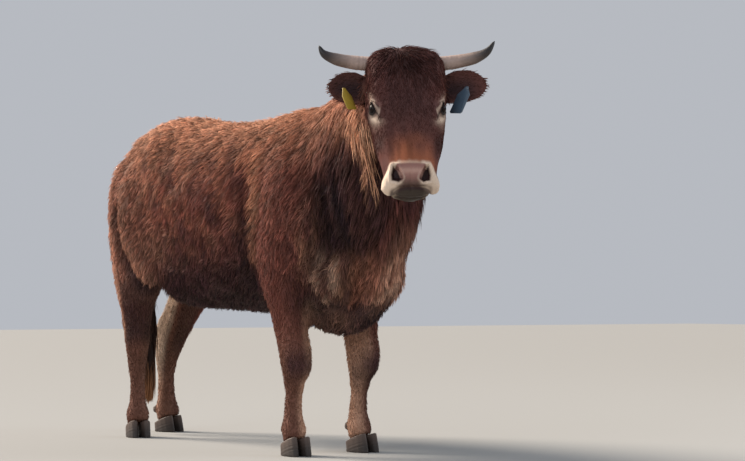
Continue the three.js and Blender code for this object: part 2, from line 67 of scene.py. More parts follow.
# Stands for a distance beyond anything that matters.
FAR = 9.0
DOWN = np.array([0.0, 0.0, -1.0])
ATLAS = "OFBake"
TINT = "Tint"
BARE = "Bare"


# -------------------- Small mathematics --------------------


def ramp(low: float, high: float, value: Array) -> Array:
    """A smooth step from 0 at low to 1 at high, or falling where high is below low."""
    share = np.clip((np.asarray(value, float) - low) / (high - low), 0.0, 1.0)
    return share * share * (3.0 - 2.0 * share)


def bell(distance: Array) -> Array:
    """A smooth hump that is 1 at distance 0 and nearly 0 from distance 2 on."""
    return np.exp(-np.asarray(distance, float) ** 2)


def unit(vectors: Array) -> Array:
    """Vectors made one unit long."""
    return vectors / np.maximum(np.linalg.norm(vectors, axis=-1, keepdims=True), 1e-9)


def linear(red: int, green: int, blue: int) -> Array:
    """A display colour of 0 to 255 as linear light."""
    share = np.array([red, green, blue], float) / 255.0
    return np.where(share <= 0.04045, share / 12.92, ((share + 0.055) / 1.055) ** 2.4)


def blend(first: Array, second: Array, share: Array) -> Array:
    """Colours or vectors mixed by a share for each row."""
    weight = np.asarray(share, float)[..., None]
    return first * (1.0 - weight) + second * weight


def flat_on(normals: Array, vectors: Array) -> Array:
    """Directions laid flat on the surface that has these normals."""
    return unit(vectors - normals * np.sum(vectors * normals, axis=1)[:, None])


@dataclass(frozen=True)
class Noise:
    """A smooth random field in space, the same on every run."""

    seed: int

    def at(self, points: Array, size: float) -> Array:
        """Reads the field.

        Args:
            points: Places, one to a row.
            size: The width of one lump in metres.

        Returns:
            Values from about -1 to 1.
        """
        scaled = points / size + self.seed * 17.31
        base = np.floor(scaled).astype(np.int64)
        part = scaled - base
        part = part * part * (3.0 - 2.0 * part)
        total = np.zeros(len(points))
        for corner in range(8):
            step = np.array([corner & 1, corner >> 1 & 1, corner >> 2 & 1])
            weight = np.prod(np.where(step, part, 1.0 - part), axis=1)
            total += weight * self.value(base + step)
        return total

    def value(self, cells: Array) -> Array:
        """A number from -1 to 1 for each cell of a grid, scrambled from its place and the seed."""
        top = 0x7FFFFFFF
        mixed = np.bitwise_xor.reduce(cells * (73856093, 19349663, 83492791), axis=1)
        mixed = (mixed ^ self.seed * 2654435761) & top
        mixed = (mixed * 1103515245 + 12345) & top
        mixed = ((mixed >> 7) * 69069 + 1) & top
        return mixed / 0x3FFFFFFF - 1.0


@dataclass(frozen=True)
class Bell:
    """A fade that is 1 at its middle and dies away on both sides."""

    middle: float
    width: float

    def __call__(self, value: Array) -> Array:
        """Reads the fade."""
        return bell((value - self.middle) / self.width)


@dataclass(frozen=True)
class Slope:
    """A smooth step from the share before, reached at low, to the share after, reached at high."""

    low: float
    high: float
    before: float = 0.0
    after: float = 1.0

    def __call__(self, value: Array) -> Array:
        """Reads the fade."""
        return self.before + (self.after - self.before) * ramp(self.low, self.high, value)


@dataclass(frozen=True)
class Part:
    """A fade that grows with the value itself, between 0 and a limit."""

    scale: float
    limit: float

    def __call__(self, value: Array) -> Array:
        """Reads the fade."""
        return np.clip(self.scale * value, 0.0, self.limit)


Fade = Callable[[Array], Array]
Axes = dict[str, Array]


def faded(amount: Array | float, axes: Axes, fades: dict[str, Fade | tuple[Fade, ...]]) -> Array:
    """An amount times every fade.

    Args:
        amount: What is faded.
        axes: Measures of each place, by name.
        fades: The fades along each measure.

    Returns:
        The amount left at each place.
    """
    for name, kinds in fades.items():
        for kind in kinds if isinstance(kinds, tuple) else (kinds,):
            amount = amount * kind(axes[name])
    return amount


class Relief:
    """A part of a surface that stands out, or sinks in where its height is below 0."""

    def __init__(self, amount: float, **fades: Fade | tuple[Fade, ...]) -> None:
        """Notes how high it stands and how that fades along each measure."""
        self.amount = amount
        self.fades = fades

    def at(self, axes: Axes) -> Array:
        """The height at each place."""
        return faded(self.amount, axes, self.fades)


# -------------------- Frames of the body --------------------


@dataclass(frozen=True)
class HeadFrame:
    """The head's own axes: down the face, out to the left, and out of the face."""

    poll: Triple = (1.206, -0.066, 1.540)
    yaw: float = -29.5
    pitch: float = 28.0
    roll: float = 1.0

    def axes(self) -> Array:
        """The three axes as the columns of a matrix."""
        turn = Matrix.Rotation(math.radians(self.yaw), 3, "Z")
        turn = turn @ Matrix.Rotation(math.radians(90.0 - self.pitch), 3, "Y")
        return np.array(turn @ Matrix.Rotation(math.radians(self.roll), 3, "X"))

    def inward(self, points: Array) -> Array:
        """Places in the model turned to places on the head."""
        return (points - ORIGIN - np.array(self.poll)) @ self.axes()

    def outward(self, points: Array) -> Array:
        """Places on the head turned to places in the model."""
        return points @ self.axes().T + ORIGIN + np.array(self.poll)

    def turned(self, vectors: Array) -> Array:
        """Directions on the head turned to directions in the model."""
        return vectors @ self.axes().T


@dataclass(frozen=True)
class Leg:
    """One leg: where its foot stands, where it meets the body, and how it leans between them."""

    name: str
    foot: tuple[float, float]
    home: float
    toe_out: float
    half_track: float = 0.165

    @property
    def side(self) -> float:
        """1 on the cow's left and -1 on its right."""
        return math.copysign(1.0, self.foot[1])

    @property
    def hind(self) -> bool:
        """Whether this is a hind leg."""
        return self.name.startswith("hind")

    def turn(self) -> float:
        """The angle that the foot turns outwards, about the vertical."""
        return self.side * math.radians(self.toe_out)

    def axis(self, height: Array) -> tuple[Array, Array]:
        """The leg's centre line, forwards and sideways, at each height."""
        settle = ramp(0.25, 0.90, height)
        forward = self.foot[0] + (self.home - self.foot[0]) * settle + ORIGIN[0]
        sideways = self.foot[1] + (self.side * self.half_track - self.foot[1]) * settle + ORIGIN[1]
        return forward, sideways

    def inward(self, points: Array) -> Array:
        """Places in the model as forwards, outwards and height on the leg."""
        forward, sideways = self.axis(points[:, 2])
        angle = self.turn() * (1.0 - ramp(0.40, 0.80, points[:, 2]))
        along = points[:, 0] - forward
        across = points[:, 1] - sideways
        ahead = along * np.cos(angle) + across * np.sin(angle)
        out = (across * np.cos(angle) - along * np.sin(angle)) * self.side
        return np.stack([ahead, out, points[:, 2]], axis=1)

    def foot_matrix(self) -> Matrix:
        """The frame that the claws of this foot stand in."""
        place = Vector((self.foot[0] + ORIGIN[0], self.foot[1] + ORIGIN[1], 0.0))
        return Matrix.Translation(place) @ Matrix.Rotation(self.turn(), 4, "Z")


HEAD = HeadFrame()
LEGS = (
    Leg("fore_right", (0.590, -0.165), 0.590, 6.0),
    Leg("fore_left", (0.560, 0.160), 0.590, 6.0),
    Leg("hind_right", (-0.720, -0.165), -0.720, 14.0),
    Leg("hind_left", (-0.985, 0.122), -0.720, 14.0),
)


# -------------------- Meshes --------------------


def deselect() -> None:
    """Leaves nothing selected, in object mode."""
    if bpy.context.object and bpy.context.object.mode != "OBJECT":
        bpy.ops.object.mode_set(mode="OBJECT")
    bpy.ops.object.select_all(action="DESELECT")


def activate(piece: Piece) -> None:
    """Makes one object the only selected one and the active one."""
    deselect()
    piece.select_set(True)
    bpy.context.view_layer.objects.active = piece


@contextmanager
def editing(piece: Piece) -> Iterator[None]:
    """Opens a piece's whole mesh for editing, and closes it again."""
    activate(piece)
    bpy.ops.object.mode_set(mode="EDIT")
    bpy.ops.mesh.select_all(action="SELECT")
    yield
    bpy.ops.object.mode_set(mode="OBJECT")


def named(piece: Piece, name: str) -> Piece:
    """Names an object and its mesh."""
    piece.name = name
    piece.data.name = name
    return piece


def add_modifier(piece: Piece, kind: str, **settings: Any) -> None:
    """Adds a modifier and applies it.

    Args:
        piece: The object that it shapes.
        kind: The modifier's type.
        settings: Its properties.
    """
    activate(piece)
    modifier = piece.modifiers.new(kind.title(), kind)
    for key, value in settings.items():
        setattr(modifier, key, value)
    bpy.ops.object.modifier_apply(modifier=modifier.name)


def listed(items: Any, name: str, width: int, kind: type = np.float32) -> Array:
    """One property of all of a mesh's items as an array.

    Args:
        items: The mesh's vertices, edges, loops or the like.
        name: The property.
        width: How many numbers each item has.
        kind: The type of the numbers.

    Returns:
        The numbers, one item to a row.
    """
    flat = np.empty(len(items) * width, kind)
    items.foreach_get(name, flat)
    return flat.reshape(-1, width) if width > 1 else flat


def points_of(mesh: bpy.types.Mesh) -> Array:
    """A mesh's corner places, one to a row."""
    return listed(mesh.vertices, "co", 3).astype(float)


def normals_of(mesh: bpy.types.Mesh) -> Array:
    """A mesh's vertex normals, one to a row."""
    return listed(mesh.vertices, "normal", 3).astype(float)


def edges_of(mesh: bpy.types.Mesh) -> Array:
    """A mesh's edges as pairs of vertex numbers."""
    return listed(mesh.edges, "vertices", 2, np.int32)


def move_points(mesh: bpy.types.Mesh, points: Array) -> None:
    """Gives a mesh new corner places."""
    mesh.vertices.foreach_set("co", points.astype(np.float32).ravel())
    mesh.update()


def paint(mesh: bpy.types.Mesh, name: str, colours: Array) -> None:
    """Stores a colour for every vertex."""
    layer = mesh.attributes.get(name) or mesh.attributes.new(name, "FLOAT_COLOR", "POINT")
    full = np.ones((len(colours), 4), np.float32)
    full[:, :3] = colours
    layer.data.foreach_set("color", full.ravel())


def soften(piece: Piece) -> None:
    """Shades every face of a piece smooth."""
    piece.data.polygons.foreach_set("use_smooth", np.ones(len(piece.data.polygons), bool))


def relax(points: Array, edges: Array, rounds: int, strength: Array, keep: bool = True) -> Array:
    """Smooths a mesh's points towards the middle of their neighbours.

    Args:
        points: The places to smooth.
        edges: Pairs of neighbouring points.
        rounds: How many times to smooth.
        strength: How far each point takes part, from 0 to 1.
        keep: Whether each round is followed by one outwards, which keeps the volume.

    Returns:
        The smoothed places.
    """
    first, second = edges[:, 0], edges[:, 1]
    count = len(points)
    degree = np.bincount(edges.ravel(), minlength=count)[:, None]
    share = np.asarray(strength, float)[:, None]
    moved = points.copy()
    for _ in range(rounds):
        for step in (0.55, -0.57) if keep else (0.5,):
            total = np.empty_like(moved)
            for axis in range(3):
                line = moved[:, axis]
                total[:, axis] = np.bincount(first, line[second], count)
                total[:, axis] += np.bincount(second, line[first], count)
            moved += step * share * (total / degree - moved)
    return moved


def mesh_from(name: str, points: Array, loops: Array, starts: Array) -> Piece:
    """A new object from arrays.

    Args:
        name: Its name.
        points: Its corner places.
        loops: The corners of its faces, one face after another.
        starts: Where each face begins in loops.

    Returns:
        The object, with smooth faces.
    """
    mesh = bpy.data.meshes.new(name)
    mesh.vertices.add(len(points))
    mesh.vertices.foreach_set("co", points.astype(np.float32).ravel())
    mesh.loops.add(len(loops))
    mesh.loops.foreach_set("vertex_index", loops.astype(np.int32))
    mesh.polygons.add(len(starts))
    mesh.polygons.foreach_set("loop_start", starts.astype(np.int32))
    mesh.polygons.foreach_set("use_smooth", np.ones(len(starts), bool))
    mesh.update(calc_edges=True)
    piece = bpy.data.objects.new(name, mesh)
    bpy.context.scene.collection.objects.link(piece)
    return piece


def copy_of(node: str) -> Piece:
    """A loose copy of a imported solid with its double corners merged."""
    piece = bpy.data.objects.new(f"{node}_copy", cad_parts[node].data.copy())
    bpy.context.scene.collection.objects.link(piece)
    piece.data.materials.clear()
    with editing(piece):
        bpy.ops.mesh.remove_doubles(threshold=0.00002)
    return piece


def joined(pieces: Sequence[Piece]) -> Piece:
    """Several objects made into the first."""
    deselect()
    for piece in pieces:
        piece.select_set(True)
    bpy.context.view_layer.objects.active = pieces[0]
    bpy.ops.object.join()
    return pieces[0]


def outwards(piece: Piece) -> None:
    """Turns every face of a closed piece outwards."""
    with editing(piece):
        bpy.ops.mesh.normals_make_consistent(inside=False)


def voxelled(node: str, voxel: float, rounds: int = 0) -> Piece:
    """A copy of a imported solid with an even, rounder mesh.

    Args:
        node: The solid.
        voxel: How fine the mesh is.
        rounds: How many times it is smoothed.

    Returns:
        The copy.
    """
    piece = copy_of(node)
    add_modifier(piece, "REMESH", mode="VOXEL", voxel_size=voxel, adaptivity=0.0)
    if rounds:
        smoothed(piece, rounds)
    return piece


def smoothed(piece: Piece, rounds: int) -> Array:
    """Smooths a whole piece and gives back its new places."""
    points = points_of(piece.data)
    points = relax(points, edges_of(piece.data), rounds, np.ones(len(points)))
    move_points(piece.data, points)
    return points


def unwrap(piece: Piece, margin: float) -> None:
    """Lays a piece out flat.

    Args:
        piece: The piece.
        margin: The space left round each patch.
    """
    while piece.data.uv_layers:
        piece.data.uv_layers.remove(piece.data.uv_layers[0])
    piece.data.uv_layers.new(name=ATLAS)
    with editing(piece):
        bpy.ops.uv.smart_project(angle_limit=math.radians(66.0), island_margin=margin)


# -------------------- Shader graphs --------------------


class Signal:
    """A shader socket that adds Math nodes when it is used in an expression."""

    def __init__(self, graph: "Graph", socket: bpy.types.NodeSocket) -> None:
        """Wraps a socket of a graph."""
        self.graph = graph
        self.socket = socket

    def join(self, operation: str, *others: "Signal | float") -> "Signal":
        """Feeds this and other values to one Math node and gives back its result."""
        node = self.graph.node("ShaderNodeMath", {"operation": operation})
        for slot, value in enumerate((self, *others)):
            self.graph.feed(node.inputs[slot], value)
        return Signal(self.graph, node.outputs[0])

    def __add__(self, other: "Signal | float") -> "Signal":
        """This plus other."""
        return self.join("ADD", other)

    __radd__ = __add__

    def __mul__(self, other: "Signal | float") -> "Signal":
        """This times other."""
        return self.join("MULTIPLY", other)

    __rmul__ = __mul__

    def __sub__(self, other: "Signal | float") -> "Signal":
        """This less other."""
        return self.join("SUBTRACT", other)

    def __rsub__(self, other: float) -> "Signal":
        """Other less this."""
        return self.join("MULTIPLY_ADD", -1.0, other)

    def between(self, low: float, high: float) -> "Signal":
        """A smooth step from 0 at low to 1 at high."""
        node = self.graph.node("ShaderNodeMapRange", {"interpolation_type": "SMOOTHSTEP"})
        self.graph.feed(node.inputs["Value"], self)
        node.inputs["From Min"].default_value = low
        node.inputs["From Max"].default_value = high
        return Signal(self.graph, node.outputs["Result"])


class Graph:
    """The node tree of one material."""

    def __init__(self, name: str) -> None:
        """Starts an empty material with its output node."""
        self.material = bpy.data.materials.new(name)
        self.material.use_nodes = True
        self.tree = self.material.node_tree
        self.tree.nodes.clear()
        self.output = self.tree.nodes.new("ShaderNodeOutputMaterial")

    def feed(self, socket: bpy.types.NodeSocket, value: Any) -> None:
        """Links or sets one input socket."""
        if isinstance(value, Signal):
            self.tree.links.new(value.socket, socket)
        elif isinstance(value, bpy.types.NodeSocket):
            self.tree.links.new(value, socket)
        elif isinstance(value, (tuple, list, np.ndarray)):
            numbers = [float(part) for part in value]
            wanted = len(socket.default_value)
            socket.default_value = (numbers + [1.0])[:wanted]
        else:
            socket.default_value = value

    def node(self, kind: str, settings: dict[str, Any] | None = None, **inputs: Any) -> bpy.types.Node:
        """Adds a node.

        Args:
            kind: The node's type.
            settings: Its properties, set first.
            inputs: Values or links for its sockets, by name with _ for a space.

        Returns:
            The node.
        """
        made = self.tree.nodes.new(kind)
        for key, value in (settings or {}).items():
            setattr(made, key, value)
        for key, value in inputs.items():
            self.feed(made.inputs[key.replace("_", " ")], value)
        return made

    def place(self) -> bpy.types.NodeSocket:
        """Object coordinates."""
        return self.node("ShaderNodeTexCoord").outputs["Object"]

    def stretched(self, *scale: float) -> bpy.types.NodeSocket:
        """Object coordinates scaled along each axis."""
        return self.node("ShaderNodeMapping", None, Vector=self.place(), Scale=scale).outputs[0]

    def noise(self, vector: bpy.types.NodeSocket, scale: float, detail: float = 2.0) -> Signal:
        """A noise value from 0 to 1."""
        made = self.node("ShaderNodeTexNoise", None, Vector=vector, Scale=scale, Detail=detail)
        return Signal(self, made.outputs["Fac"])

    def attribute(self, name: str) -> bpy.types.NodeSocket:
        """The colour that is stored for each vertex."""
        return self.node("ShaderNodeAttribute", {"attribute_name": name}).outputs["Color"]

    def mix(self, share: Any, first: Any, second: Any, how: str = "MIX") -> bpy.types.NodeSocket:
        """A colour mixed from two."""
        made = self.node("ShaderNodeMix", {"data_type": "RGBA", "blend_type": how, "clamp_factor": True})
        self.feed(made.inputs[0], share)
        self.feed(made.inputs[6], first)
        self.feed(made.inputs[7], second)
        return made.outputs[2]

    def tinted(self, tone: Signal) -> bpy.types.NodeSocket:
        """The piece's painted colour, lighter or darker by a tone about 1."""
        grey = self.node("ShaderNodeCombineColor", None, Red=tone, Green=tone, Blue=tone)
        return self.mix(1.0, self.attribute(TINT), grey.outputs[0], "MULTIPLY")

    def bump(self, height: Signal, depth: float, strength: float = 1.0) -> bpy.types.NodeSocket:
        """A bump normal of a given depth in metres."""
        made = self.node("ShaderNodeBump", None, Height=height, Distance=depth, Strength=strength)
        return made.outputs["Normal"]

    def surface(self, **inputs: Any) -> bpy.types.Material:
        """Ends the graph in one principled shader."""
        shader = self.node("ShaderNodeBsdfPrincipled", None, **inputs)
        self.tree.links.new(shader.outputs[0], self.output.inputs["Surface"])
        return self.material


# -------------------- The skin --------------------


@dataclass
class Shares:
    """How far each of a set of places belongs to each part of the body, from 0 to 1.

    Attributes:
        parts: One row for each place and one column for each solid of FLESH.
    """

    parts: Array

    @property
    def trunk(self) -> Array:
        """The share of the trunk."""
        return self.parts[:, 0]

    @property
    def neck(self) -> Array:
        """The share of the neck."""
        return self.parts[:, 1]

    @property
    def head(self) -> Array:
        """The share of the head."""
        return self.parts[:, 2]

    @property
    def legs(self) -> list[Array]:
        """The share of each leg, in the order of LEGS."""
        return [self.parts[:, 3 + number] for number in range(len(LEGS))]

    @property
    def tail(self) -> Array:
        """The share of the tail."""
        return self.parts[:, -1]

    @property
    def leg(self) -> Array:
        """The share of all four legs together."""
        return sum(self.legs)

    def shaggy(self, height: Array, low: float = 0.50) -> Array:
        """The share of the long coat: trunk, neck and the legs from a low height upwards."""
        return np.clip(self.trunk + self.neck + self.leg * ramp(low, 0.80, height), 0.0, 1.0)

    def mix(self, **values: Any) -> Array:
        """One value for each place from a value for each part of the body that is named."""
        return sum(getattr(self, part) * value for part, value in values.items())


class Anatomy:
    """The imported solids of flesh, kept to tell which of them a place lies nearest."""

    BLEND = 0.03

    def __init__(self) -> None:
        """Reads the solids."""
        self.trees: dict[str, BVHTree] = {}
        for node in (*FLESH, *EARS):
            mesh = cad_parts[node].data
            faces = [tuple(face.vertices) for face in mesh.polygons]
            self.trees[node] = BVHTree.FromPolygons([Vector(row) for row in points_of(mesh)], faces)

    def distance(self, node: str, points: Array) -> Array:
        """How far each point is from the surface of one solid."""
        tree = self.trees[node]
        return np.array([tree.find_nearest(Vector(row))[3] for row in points.tolist()])

    def shares(self, points: Array) -> Shares:
        """Shares out each point among the parts that it is near."""
        gaps = np.stack([self.distance(node, points) for node in FLESH])
        weights = np.exp(-(gaps - gaps.min(axis=0)) / self.BLEND)
        return Shares((weights / weights.sum(axis=0)).T)


@dataclass(frozen=True)
class Eye:
    """One eye's ball and the slit between its lids, in the head's frame.

    Attributes:
        side: 1 on the cow's left and -1 on its right.
        radius: The ball's radius.
        slit: Half the slit's length, and its height above the middle.
        lower: How much further the slit reaches below the middle than above it.
        power: How square the slit is.
    """

    side: float
    radius: float = 0.023
    slit: tuple[float, float] = (0.0228, 0.0148)
    lower: float = 1.50
    power: float = 2.4

    @property
    def centre(self) -> Array:
        """The middle of the ball."""
        return np.array([0.249, 0.118 * self.side, -0.046])

    @property
    def axes(self) -> Array:
        """Rows: along the slit towards the nose, up the slit, and outwards."""
        outward = unit(np.array([-0.02, 0.80 * self.side, 0.60]))
        along = np.array([0.80, -0.42 * self.side, 0.10])
        along = unit(along - outward * (along @ outward))
        upward = np.cross(outward, along)
        if upward[0] > 0:
            upward = -upward
        return np.stack([along, upward, outward])

    def view(self, points: Array) -> tuple[Array, Array, Array, Array]:
        """Places on the head seen from the ball's middle.

        Args:
            points: Places in the head's frame.

        Returns:
            Distance along the slit, distance up it, outward share, and distance from the middle.
        """
        offset = points - self.centre
        reach = np.linalg.norm(offset, axis=1)
        heading = offset / np.maximum(reach, 1e-9)[:, None]
        local = heading @ self.axes.T
        scale = self.radius + 0.0035 + 1.1 * np.maximum(reach - 0.034, 0.0)
        return local[:, 0] * scale, local[:, 1] * scale, local[:, 2], reach

    def opening(self, points: Array) -> Array:
        """How far out of the slit each place is: below 1 it lies between the lids."""
        along, up, outward, _ = self.view(points)
        long, tall = self.slit
        height = np.where(up > 0.0, tall, tall * self.lower)
        shape = (np.abs(along / long) ** self.power + np.abs(up / height) ** self.power) ** (1.0 / self.power)
        return np.where(outward > 0.05, shape, FAR)


EYES = tuple(Eye(side) for side in SIDES[::-1])
# The front of the face, where it looks forwards and not sideways.
FRONT = Slope(-0.12, -0.07)
FACE_RELIEFS = (
    # Nose: the groove down its middle, its upper edge, and the hollow beside each nostril.
    Relief(-0.0030, across=Bell(0.0, 0.006), down=(Slope(0.505, 0.53), Slope(0.60, 0.57)), out=FRONT),
    Relief(0.0025, down=Bell(0.493, 0.008), across=Slope(0.085, 0.05), out=FRONT),
    Relief(-0.0090, across=Bell(0.096, 0.022), down=Bell(0.508, 0.022)),
    # Lips: the drawn-in left corner, the line between them, and the fold of the lower one.
    Relief(-0.0130, left=Bell(0.082, 0.030), down=Bell(0.587, 0.015)),
    Relief(-0.0065, lips=Bell(0.003, 0.004), across=Slope(0.084, 0.068), out=Slope(-0.150, -0.140)),
    Relief(0.0035, down=Bell(0.587, 0.006), across=Slope(0.070, 0.050)),
    Relief(-0.0075, out=Bell(-0.126, 0.0045), down=Slope(0.40, 0.46)),
    Relief(0.0040, out=Bell(-0.112, 0.010), down=Slope(0.44, 0.50)),
    Relief(0.0030, out=Bell(-0.140, 0.010), down=Slope(0.46, 0.52)),
    # Cheeks: the swell over the teeth, the bone below each eye, and the hollow before it.
    Relief(0.0100, down=Bell(0.385, 0.095), across=Slope(0.055, 0.085)),
    Relief(0.0160, left=Bell(-0.145, 0.030), down=Bell(0.235, 0.055), out=Bell(-0.100, 0.034)),
    Relief(0.0060, left=Bell(0.145, 0.030), down=Bell(0.235, 0.055), out=Bell(-0.100, 0.034)),
    Relief(0.0060, down=Bell(0.30, 0.05), across=Bell(0.122, 0.02), out=Bell(-0.075, 0.02)),
    Relief(-0.0050, down=Bell(0.40, 0.07), across=Bell(0.085, 0.03), out=Bell(-0.07, 0.04)),
    # Forehead: the brows, the dish between the eyes, the poll, and the ridge of the nose.
    Relief(0.0060, down=Bell(0.175, 0.035), across=Bell(0.105, 0.025), out=FRONT),
    Relief(-0.0040, down=Bell(0.19, 0.06), across=Bell(0.0, 0.05), out=FRONT),
    Relief(0.0040, down=Bell(0.06, 0.07), across=Bell(0.0, 0.06), out=FRONT),
    Relief(0.0040, down=Bell(0.36, 0.09), across=Bell(0.0, 0.05), out=FRONT),
)


class FaceShape:
    """Presses the eyes, nose and mouth into the head. All places are in the head's frame.

    Attributes:
        NOSTRIL: The corners of the left nostril, down the face and outwards, from its top inwards and round.
        LID: How far the skin stands out from the eyeball, by distance from the slit.
        BAGS: Distance from the eyeball's middle, and depth, of each fold under an eye.
    """

    NOSTRIL = (
        (0.4965, 0.0635), (0.5035, 0.0510), (0.5415, 0.0340), (0.5490, 0.0450), (0.5430, 0.0680),
        (0.5240, 0.0705),
    )
    LID = (
        (0.0, 0.86, 0.98, 1.12, 1.40, 1.70, 2.1, 2.7),
        (-0.0050, -0.0045, 0.0012, 0.0040, 0.0046, 0.0034, 0.0062, 0.0085),
    )
    BAGS = ((0.030, 0.0022), (0.046, 0.0016))
    PIT_DEPTH = 0.024
    RIM_HEIGHT = 0.0034

    @staticmethod
    def parting(left: Array) -> Array:
        """How far down the face the line between the lips lies."""
        return 0.5630 + np.where(left < 0.0, 1.78, 0.35) * left**2

    def lids(self, points: Array, eye: Eye) -> Array:
        """Opens the slit over one eye and folds the lids round it."""
        _, up, outward, reach = eye.view(points)
        shape = eye.opening(points)
        lower = ramp(0.002, -0.006, up)
        profile = eye.radius + np.interp(shape, *self.LID)
        profile += 0.0022 * bell((shape - 1.26) / 0.18) * (1.0 - lower)
        profile -= 0.0012 * bell((shape - 2.3) / 0.35) * lower
        share = ramp(3.0, 1.7, shape) * ramp(0.0, 0.25, outward)
        wanted = reach + (profile - reach) * share
        wanted = np.where(shape > 1.6, np.maximum(wanted, reach * 0.55 + wanted * 0.45), wanted)
        heading = (points - eye.centre) / np.maximum(reach, 1e-9)[:, None]
        return eye.centre + heading * wanted[:, None]

    def nostril(self, points: Array, side: float) -> tuple[Array, Array]:
        """How deep in one nostril, and how near its rim, each place is."""
        flat = np.stack([points[:, 0], points[:, 1] * side], axis=1)
        front = ramp(-0.115, -0.085, points[:, 2])
        corners = np.array(self.NOSTRIL)
        gaps, insides = [], []
        for start, end in zip(corners, np.roll(corners, -1, axis=0)):
            line = end - start
            offset = flat - start
            share = np.clip(offset @ line / (line @ line), 0.0, 1.0)
            gaps.append(np.linalg.norm(offset - share[:, None] * line, axis=1))
            insides.append((line[0] * offset[:, 1] - line[1] * offset[:, 0]) / np.linalg.norm(line))
        gap = np.min(gaps, axis=0)
        signed = np.where(np.min(insides, axis=0) > 0.0, -gap, gap)
        depth = ramp(0.0060, -0.0060, signed) * (0.80 + 0.20 * bell(gaps[1] / 0.010))
        return depth * front, bell((signed - 0.0095) / 0.0035) * front

    def offsets(self, points: Array) -> Array:
        """How far each place of the head moves outwards along its own normal."""
        down, left, out = points.T
        across = np.abs(left)
        axes = {"down": down, "left": left, "across": across, "out": out, "lips": down - self.parting(left)}
        total = sum(relief.at(axes) for relief in FACE_RELIEFS)
        for side in SIDES:
            pit, rim = self.nostril(points, side)
            total += self.RIM_HEIGHT * rim - self.PIT_DEPTH * pit
        corner = bell((across - 0.092) / 0.020) * ramp(-0.16, -0.12, out)
        total += np.where(left < 0.0, 0.0110, 0.0060) * corner * bell((down - 0.566 + 0.05 * left) / 0.017)
        return total + self.bags(points)

    def bags(self, points: Array) -> Array:
        """The folds under the eyes."""
        total = np.zeros(len(points))
        for eye in EYES:
            along, up, outward, _ = eye.view(points)
            spread = np.hypot(along, up * 1.3) / 0.0265
            gap = np.linalg.norm(points - eye.centre, axis=1)
            under = ramp(0.0, -0.008, up) * ramp(0.1, 0.4, outward) * ramp(0.2, 0.9, spread)
            for middle, depth in self.BAGS:
                total -= depth * bell((gap - middle) / 0.0035) * under
        return total


@dataclass(frozen=True)
class Swelling:
    """A place where the skin stands out or sinks in.

    Attributes:
        at: Its middle in the body's own axes, given for the cow's right side.
        reach: How far it spreads along each axis.
        height: How far it stands out, below 0 where it sinks in.
        sides: The sides of the body that have it, -1 right and 1 left.
    """

    at: Triple
    reach: Triple
    height: float
    sides: tuple[float, ...] = SIDES

    def near(self, points: Array) -> Array:
        """How near each place is to the middle, 1 on it, added up over the sides that have it."""
        gaps = ((points - np.array(self.at) * (1.0, -side, 1.0)) / self.reach for side in self.sides)
        return sum(bell(np.linalg.norm(gap, axis=1)) for gap in gaps)


@dataclass(frozen=True)
class Furrow:
    """A fold or a ridge along a run of points.

    Attributes:
        path: The points in the body's own axes, given for the cow's right side.
        width: How far it spreads to each side.
        height: How far it stands out, below 0 where it sinks in.
        sides: The sides of the body that have it, -1 right and 1 left.
    """

    path: tuple[Triple, ...]
    width: float
    height: float
    sides: tuple[float, ...] = SIDES

    def gap(self, points: Array, side: float) -> Array:
        """How far each place is from the run."""
        best = np.full(len(points), FAR)
        for start, end in zip(self.path, self.path[1:]):
            first = np.array(start) * (1.0, -side, 1.0)
            last = np.array(end) * (1.0, -side, 1.0)
            line = last - first
            share = np.clip((points - first) @ line / (line @ line), 0.0, 1.0)
            best = np.minimum(best, np.linalg.norm(points - first - share[:, None] * line, axis=1))
        return best

    def near(self, points: Array, width: float) -> Array:
        """How near each place is to the run, 1 on it, on the sides of the body that have it."""
        return bell(np.min([self.gap(points, side) for side in self.sides], axis=0) / width)


RIGHT_ONLY = (-1.0,)
SWELLINGS = (
    # Hip bone, pin bone, the hollow before the hip, and the thigh.
    Swelling((-0.44, -0.235, 1.33), (0.075, 0.06, 0.05), 0.014),
    Swelling((-0.80, -0.11, 1.315), (0.05, 0.06, 0.045), 0.012),
    Swelling((-0.27, -0.27, 1.24), (0.11, 0.10, 0.075), -0.016),
    Swelling((-0.60, -0.22, 1.22), (0.10, 0.10, 0.10), -0.008),
    Swelling((-0.68, -0.25, 1.02), (0.14, 0.12, 0.16), 0.012),
    # Barrel, and the flank where it meets the thigh.
    Swelling((0.02, -0.32, 0.93), (0.26, 0.16, 0.19), 0.012),
    Swelling((-0.37, -0.13, 0.64), (0.13, 0.14, 0.075), 0.024),
    Swelling((-0.43, -0.26, 0.70), (0.10, 0.10, 0.07), 0.010),
    # Shoulder blade, point of the shoulder, and upper arm.
    Swelling((0.62, -0.24, 1.05), (0.085, 0.10, 0.17), 0.012),
    Swelling((0.78, -0.24, 0.90), (0.07, 0.09, 0.08), 0.014),
    Swelling((0.57, -0.27, 0.80), (0.09, 0.08, 0.09), 0.008),
    # Brisket.
    Swelling((0.83, -0.16, 0.67), (0.06, 0.07, 0.075), 0.034, RIGHT_ONLY),
    Swelling((0.91, 0.01, 0.67), (0.07, 0.07, 0.09), 0.026, RIGHT_ONLY),
    Swelling((0.80, -0.18, 0.66), (0.06, 0.07, 0.075), 0.018, (1.0,)),
)
CREASE = Furrow(
    (
        (0.392, -0.255, 1.06), (0.382, -0.26, 0.96), (0.366, -0.26, 0.88), (0.355, -0.25, 0.79),
        (0.345, -0.21, 0.69),
    ),
    0.034,
    -0.013,
)
SHOULDER_RIDGE = Furrow(
    (
        (0.43, -0.22, 1.18), (0.455, -0.25, 1.04), (0.455, -0.257, 0.957), (0.44, -0.255, 0.88),
        (0.425, -0.24, 0.78),
    ),
    0.026,
    0.009,
)
